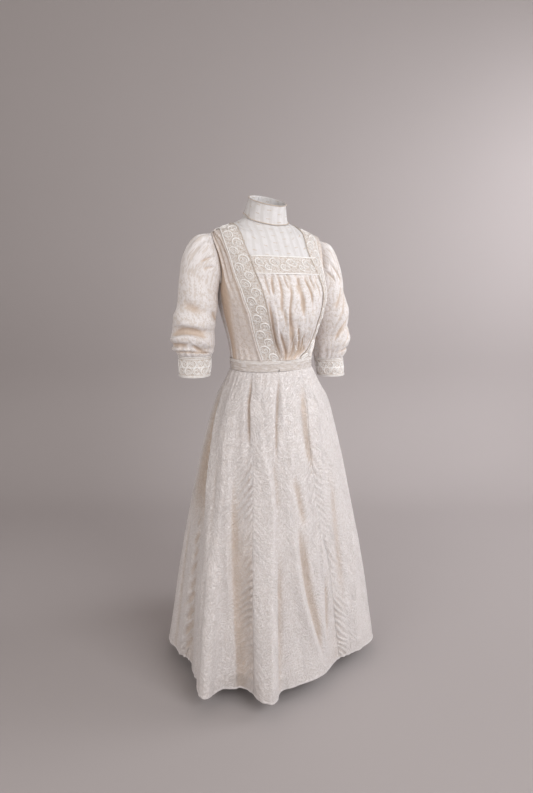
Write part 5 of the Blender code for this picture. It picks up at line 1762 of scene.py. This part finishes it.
def embroider(name, surface, spots, thread, material):
    """Sews crescents on a surface. Each spot has its place, size, facing and hand."""
    routes, radii = [], []
    for across, up, size, facing, handed in spots:
        for points, thick in crescent(size, facing, handed):
            routes.append(surface(across, up, points[:, 0], points[:, 1], thread * 0.6))
            radii.append(thick)
    lay_cords(name, routes, thread, material, radii=radii)


def panel_surface(panel):
    """Turns places on a panel, with offsets in metres, into points."""
    walked, shares = panel.length_shares()

    def at(across, distance, off_across, off_up, lift):
        up = np.interp(distance + off_up, walked, shares)
        width = panel.width(up)
        angle_share = across + off_across / width
        return panel.point(angle_share, up, BAND_LIFT + lift)

    return at, walked[-1]


def cuff_spot(table, side):
    """Turns places on a cuff, with offsets in metres, into points."""

    def at(turn, down, off_across, off_up, lift):
        radius = mix(CUFF_TOP, CUFF_BOTTOM, down)
        return cuff_surface(table, side, turn + off_across / radius, down + off_up / CUFF_DEPTH, lift)

    return at


def cuff_cloth(node, side, table, sizes):
    """A cuff with its two rows of crescents and its piped edges."""
    surface, thread = cuff_spot(table, side), finish(embroidery_thread)

    def place(across, up):
        share = across % 1.0
        soft = 0.0004 * waves(share * 14, up * 3, 91, around=14)
        return cuff_surface(table, side, 2 * math.pi * share, 1 - up, soft), {}

    def inside(across, _):
        centre = sleeve_centre(table, 1.0) * np.array((side, 1, 1))
        return posed(centre + 0 * across[..., None])

    lay_cloth(node, place, finish(embroidery_ground), sizes.net, inside)
    spots = []
    for index in range(CUFF_SCROLLS):
        turn, row = 2 * math.pi * index / CUFF_SCROLLS, index % 2
        facing = math.radians(150 if row else -20) + 0.5 * math.sin(index * 1.9)
        spots.append((turn, 0.33 + 0.34 * row, sizes.scroll * 0.84, facing, -side))
    embroider(f"{node}_scrolls", surface, spots, sizes.thread, thread)
    turns = np.linspace(0, 2 * math.pi, 73)
    rings = [
        cuff_surface(table, side, turns, np.full_like(turns, down), 0.0011)
        for down in (-0.01, 0.07, 0.93, 0.99)
    ]
    lay_cords(f"{node}_piping", rings, sizes.cord * 0.9, thread, sides=2)


def length_setting(name, words, value, low, high):
    """A length in metres that the panel shows."""
    return FloatProperty(name=name, description=words, default=value, min=low, max=high, unit="LENGTH")


def colour_setting(name, words, value):
    """A colour that the panel shows."""
    return FloatVectorProperty(name=name, description=words, subtype="COLOR", default=value)


class DressSizes(bpy.types.PropertyGroup):
    """Thicknesses and strengths of what the dress is made of"""

    silk: length_setting("Silk", "Thickness of the silk", 0.0009, 0.0003, 0.0016)
    net: length_setting("Net", "Thickness of the net", 0.0007, 0.0003, 0.0012)
    thread: length_setting("Thread", "Half the thickness of the embroidery thread", 0.0015, 0.0004, 0.002)
    cord: length_setting("Cord", "Half the thickness of the edging cords", 0.0012, 0.0004, 0.002)
    scroll: length_setting("Scroll", "Half the size of an embroidered crescent", 0.0126, 0.004, 0.014)
    pucker: FloatProperty(
        name="Pucker", description="Strength of the puckers along the skirt's seams", default=1.0,
        min=0.0, max=2.0,
    )


class DressColours(bpy.types.PropertyGroup):
    """Colours of the dress and of the studio"""

    silk: colour_setting("Silk", "Ivory of the silk", (0.89, 0.848, 0.842))
    # Silk shade is the weave's darker tone, and also painted shade where the crinkles' bump is low.
    silk_shade: colour_setting("Silk shade", "Deeper ivory in the silk's crinkles", (0.75, 0.688, 0.66))
    # Painted shade: the warm tan mixed into creases, folds, recesses and the bodice's sides where shade falls.
    hollow: colour_setting("Hollow", "Warm tone deep in the folds", (0.61, 0.475, 0.37))
    damask_shade: colour_setting("Damask shade", "Deeper ground of the damask", (0.70, 0.62, 0.555))
    # Painted shade of the hem turned up double, strongest in the trough between the front lobes.
    hem: colour_setting("Hem", "Doubled silk of the hem", (0.50, 0.44, 0.40))
    net: colour_setting("Net", "Ivory of the net", (0.82, 0.80, 0.805))
    net_shade: colour_setting("Net shade", "Deeper tone of the net", (0.71, 0.68, 0.665))
    band: colour_setting("Band", "Ground under the embroidery", (0.83, 0.78, 0.75))
    band_shade: colour_setting("Band shade", "Tan gaps in the ground", (0.62, 0.525, 0.45))
    thread: colour_setting("Thread", "Ivory of the embroidery thread", (1.0, 0.985, 0.975))
    thread_shade: colour_setting("Thread shade", "Shade in the thread's twist", (0.86, 0.81, 0.77))
    cord: colour_setting("Cord", "Tan of the edging cords", (0.66, 0.56, 0.47))
    cord_shade: colour_setting("Cord shade", "Shade in the cords' twist", (0.50, 0.41, 0.33))
    floor: colour_setting("Floor", "Pale studio paper", (0.43, 0.395, 0.392))


class DRESS_OT_stage(bpy.types.Operator):
    """Sets up the studio: the paper on the floor and behind, the lights and the camera"""

    bl_idname = "dress.stage"
    bl_label = "Studio"

    def execute(self, context):
        scene = context.scene
        scene.view_settings.view_transform = "Standard"
        camera = bpy.data.objects.new("portrait_camera", bpy.data.cameras.new("portrait_camera"))
        camera.location = CAMERA_PLACE
        camera.rotation_euler = (math.pi / 2 - CAMERA_TILT, 0, -CAMERA_TURN)
        camera.data.lens = CAMERA_LENS
        camera.data.shift_x = CAMERA_SHIFT
        scene.collection.objects.link(camera)
        scene.camera = camera
        mesh = bmesh.new()
        bmesh.ops.create_grid(mesh, x_segments=8, y_segments=100, size=1.0)
        quarter = PAPER_BEND * math.pi / 2
        for vert in mesh.verts:
            along = (vert.co.y + 1) / 2 * PAPER_LENGTH
            bend = min(max(along - PAPER_RUN, 0.0), quarter)
            risen = max(along - PAPER_RUN - quarter, 0.0)
            away = min(along, PAPER_RUN) - PAPER_BEFORE + PAPER_BEND * math.sin(bend / PAPER_BEND)
            side = vert.co.x * PAPER_HALF_WIDTH
            vert.co = (
                side * math.cos(PAPER_TURN) + away * math.sin(PAPER_TURN),
                -side * math.sin(PAPER_TURN) + away * math.cos(PAPER_TURN),
                PAPER_BEND * (1 - math.cos(bend / PAPER_BEND)) + risen - SHOULDER_HEIGHT,
            )
        data = bpy.data.meshes.new("studio_paper")
        mesh.to_mesh(data)
        mesh.free()
        data.shade_smooth()
        data.materials.append(finish(studio_paper))
        paper = bpy.data.objects.new("studio_paper", data)
        scene.collection.objects.link(paper)
        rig.stage(paper)
        world = bpy.data.worlds.new("studio_air")
        world.use_nodes = True
        background = world.node_tree.nodes["Background"]
        background.inputs["Color"].default_value = AIR_COLOUR
        background.inputs["Strength"].default_value = AIR_STRENGTH
        scene.world = world
        for name, place, aim, size, energy, colour, spread in LIGHTS:
            light = bpy.data.objects.new(name, bpy.data.lights.new(name, "AREA"))
            light.data.size, light.data.energy, light.data.color = size, energy, colour
            light.data.spread = spread
            light.location = place
            light.rotation_euler = (Vector(aim) - Vector(place)).to_track_quat("-Z", "Y").to_euler()
            scene.collection.objects.link(light)
        return {"FINISHED"}


class DRESS_OT_skirt(bpy.types.Operator):
    """Lays the seven gores of the skirt, with their folds, puckered seams and hem"""

    bl_idname = "dress.skirt"
    bl_label = "Skirt"

    def execute(self, context):
        for row in GORES:
            gore_cloth(*row, context.scene.dress_sizes)
        return {"FINISHED"}


class DRESS_OT_bodice(bpy.types.Operator):
    """Lays the gathered vest, the tucked fronts, the backs and the placket"""

    bl_idname = "dress.bodice"
    bl_label = "Bodice"

    def execute(self, context):
        sizes = context.scene.dress_sizes
        silk = finish(damask)
        bodice_cloth("vest", vest_relief, silk, sizes.silk)
        panel = PANELS["vest"]
        routes = []
        for curve in VEST_FIGURE:
            across, up = (smooth_line(column, 26) for column in zip(*curve))
            lift, _ = vest_relief(across, up, panel.width(up))
            routes.append(panel.point(across, up, lift + 0.0006))
        lay_cords("vest_figure", routes, sizes.thread * 0.62, finish(embroidery_thread), "vest")
        for seed, word in ((51, "left"), (61, "right")):
            bodice_cloth(f"side_front_{word}", front_relief(seed), silk, sizes.silk)
            bodice_cloth(f"side_back_{word}", back_relief(seed + 3), silk, sizes.silk)
            bodice_cloth(f"centre_back_{word}", back_relief(seed + 6), silk, sizes.silk)
        lay_cloth("back_placket", placket_place, finish(plain_silk), sizes.silk)
        return {"FINISHED"}


class DRESS_OT_bands(bpy.types.Operator):
    """Lays the embroidered bands over the shoulders and across the neckline"""

    bl_idname = "dress.bands"
    bl_label = "Embroidered bands"

    def execute(self, context):
        sizes = context.scene.dress_sizes
        ground, thread = finish(embroidery_ground), finish(embroidery_thread)
        for word, side in SIDES:
            node = f"band_{word}"
            bodice_cloth(node, band_relief, ground, sizes.net)
            surface, length = panel_surface(PANELS[node])
            spots = []
            for index in range(int((length - 2 * SCROLL_MARGIN) / SCROLL_STEP) + 1):
                facing = side * math.radians(-12 if index % 2 else 14) + 0.15 * math.sin(index * 1.7)
                size = sizes.scroll * (1.0 + 0.07 * math.sin(index * 2.3))
                distance = SCROLL_MARGIN + SCROLL_STEP * index
                spots.append((0.33 + 0.33 * (index % 2), distance, size, facing, side))
            embroider(f"{node}_scrolls", surface, spots, sizes.thread, thread)
            up = np.linspace(0.004, 0.996, 190)
            outer = PANELS[node].point(np.full_like(up, 0.975), up, BAND_LIFT + 0.0009)
            lay_cords(f"{node}_edge", [outer], sizes.thread * 0.95, thread)
            # The tan cord on the seam along the band's inner edge also serves as a painted shadow line where the band
            # stands proud.
            inner = PANELS[node].point(np.full_like(up, 0.012), up, BAND_LIFT + 0.0007)
            lay_cords(f"{node}_seam", [inner], sizes.cord * 0.7, finish(cord_finish))
        bodice_cloth("neckline_band", level_band_relief, ground, sizes.net)
        panel = PANELS["neckline_band"]
        surface, length = panel_surface(panel)
        width = float(panel.width(np.array(0.5)))
        spots = []
        for index in range(NECKLINE_SCROLLS):
            across = 0.5 + (index - 1.62) * NECKLINE_STEP / width
            size = sizes.scroll * (1.02 + 0.05 * math.sin(index * 2.1))
            for aside, up, share, facing in NECKLINE_ROWS:
                spots.append((across + aside / width, length * up, size * share, math.radians(facing), 1))
        embroider("neckline_scrolls", surface, spots, sizes.thread, thread)
        return {"FINISHED"}


class DRESS_OT_net(bpy.types.Operator):
    """Lays the net yoke and the stand collar"""

    bl_idname = "dress.net"
    bl_label = "Yoke and collar"

    def execute(self, context):
        sizes = context.scene.dress_sizes
        net = finish(striped_net)
        for node, side in (("yoke_front", 0), ("yoke_back_left", 1), ("yoke_back_right", -1)):
            lay_cloth(node, Yoke(side).place, net, sizes.net)
        lay_cloth("collar", collar_place, net, sizes.net)
        lay_cloth("collar_lap", collar_lap_place, net, sizes.net)
        return {"FINISHED"}


class DRESS_OT_sleeves(bpy.types.Operator):
    """Lays the sleeves with their gathered heads and crumples"""

    bl_idname = "dress.sleeves"
    bl_label = "Sleeves"

    def execute(self, context):
        for word, *row in SLEEVES:
            sleeve_cloth(f"sleeve_{word}", *row, context.scene.dress_sizes.silk)
        return {"FINISHED"}


class DRESS_OT_cuffs(bpy.types.Operator):
    """Lays the embroidered cuffs with their piped edges"""

    bl_idname = "dress.cuffs"
    bl_label = "Cuffs"

    def execute(self, context):
        for word, side, table, *_ in SLEEVES:
            cuff_cloth(f"cuff_{word}", side, table, context.scene.dress_sizes)
        return {"FINISHED"}


class DRESS_OT_waistband(bpy.types.Operator):
    """Lays the crinkled waistband with its lap and the small hook below it"""

    bl_idname = "dress.waistband"
    bl_label = "Waistband"

    def execute(self, context):
        sizes = context.scene.dress_sizes
        lay_cloth("waistband", waistband_place, finish(plain_silk), sizes.silk)
        lay_cloth("waistband_lap", waistband_lap_place, finish(plain_silk), sizes.silk)
        turns = np.linspace(0, 1.6 * math.pi, 12)
        centre = posed(waistband_surface(*HOOK_SPOT)) - np.array((0, HOOK_FORWARD, 0))
        hook = centre + places(HOOK_HALF_WIDTH * np.cos(turns), 0, HOOK_HALF_HEIGHT * np.sin(turns))
        lay_cords("waist_hook", [hook], HOOK_WIRE, finish(dark_metal))
        return {"FINISHED"}


class DRESS_OT_cords(bpy.types.Operator):
    """Lays the cords of the collar and the piping of the neckline and the waist"""

    bl_idname = "dress.cords"
    bl_label = "Cords and piping"

    def execute(self, context):
        sizes = context.scene.dress_sizes
        silk_cord = finish(cord_finish)
        angles = np.linspace(-178.5, 178.5, 120)
        for node, share, lift in (("collar_top_cord", 0.975, 0.0019), ("collar_base_cord", 0.04, 0.0022)):
            route = worn_collar(angles, np.full_like(angles, share), lift)
            lay_cords(f"{node}_silk", [route], sizes.cord, silk_cord, node, sides=3)
        start, _ = along_band("inner", -1)(np.array(float(LOW_ROW)))
        end, _ = along_band("inner", 1)(np.array(float(LOW_ROW)))
        level = np.full(60, NECKLINE_LOW - PIPING_DROP)
        across = mix(float(start), float(end), np.linspace(0.01, 0.99, 60))
        lines = [worn(across, level, 0.0034), worn(across, level + PIPING_APART, BAND_LIFT + 0.0010)]
        pale = finish(embroidery_thread)
        lay_cords("neckline_piping_silk", lines, PIPING_RADIUS, pale, "neckline_piping", sides=3)
        angles = np.linspace(-179, 179, 160)
        routes = [worn_waistband(angles, share, BAND_LIFT + 0.0009) for share in (0.93, 0.80)]
        lay_cords("waist_piping_silk", routes, sizes.cord * 0.7, pale, "waist_piping", sides=3)
        return {"FINISHED"}


class DRESS_PT_panel(bpy.types.Panel):
    """Lists the makers of the dress and its sizes and colours"""

    bl_idname = "DRESS_PT_panel"
    bl_label = "Silk dress"
    bl_space_type = "VIEW_3D"
    bl_region_type = "UI"
    bl_category = "Dress"

    def draw(self, context):
        for group in (context.scene.dress_sizes, context.scene.dress_colours):
            column = self.layout.column()
            for name in group.__annotations__:
                column.prop(group, name)
        for maker in MAKERS:
            self.layout.operator(maker.bl_idname)


MAKERS = (
    DRESS_OT_stage, DRESS_OT_skirt, DRESS_OT_bodice, DRESS_OT_bands, DRESS_OT_net, DRESS_OT_sleeves,
    DRESS_OT_cuffs, DRESS_OT_waistband, DRESS_OT_cords,
)
CLASSES = (DressSizes, DressColours, *MAKERS, DRESS_PT_panel)


def register():
    """Adds the settings, the makers and the panel to Blender."""
    for kind in CLASSES:
        bpy.utils.register_class(kind)
    bpy.types.Scene.dress_sizes = PointerProperty(type=DressSizes)
    bpy.types.Scene.dress_colours = PointerProperty(type=DressColours)


def unregister():
    """Takes them out again."""
    del bpy.types.Scene.dress_colours
    del bpy.types.Scene.dress_sizes
    for kind in reversed(CLASSES):
        bpy.utils.unregister_class(kind)


def main():
    """Makes everything, and writes down how large the part and its visual are."""
    register()
    for maker in MAKERS:
        group, name = maker.bl_idname.split(".")
        getattr(getattr(bpy.ops, group), name)()
    sizes = {"cad": CAD_BOX, "visual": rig.bounds()}
    with open("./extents.json", "w") as kept:
        json.dump(sizes, kept, default=lambda box: [float(part) for part in box])


if __name__ == "__main__":
    main()
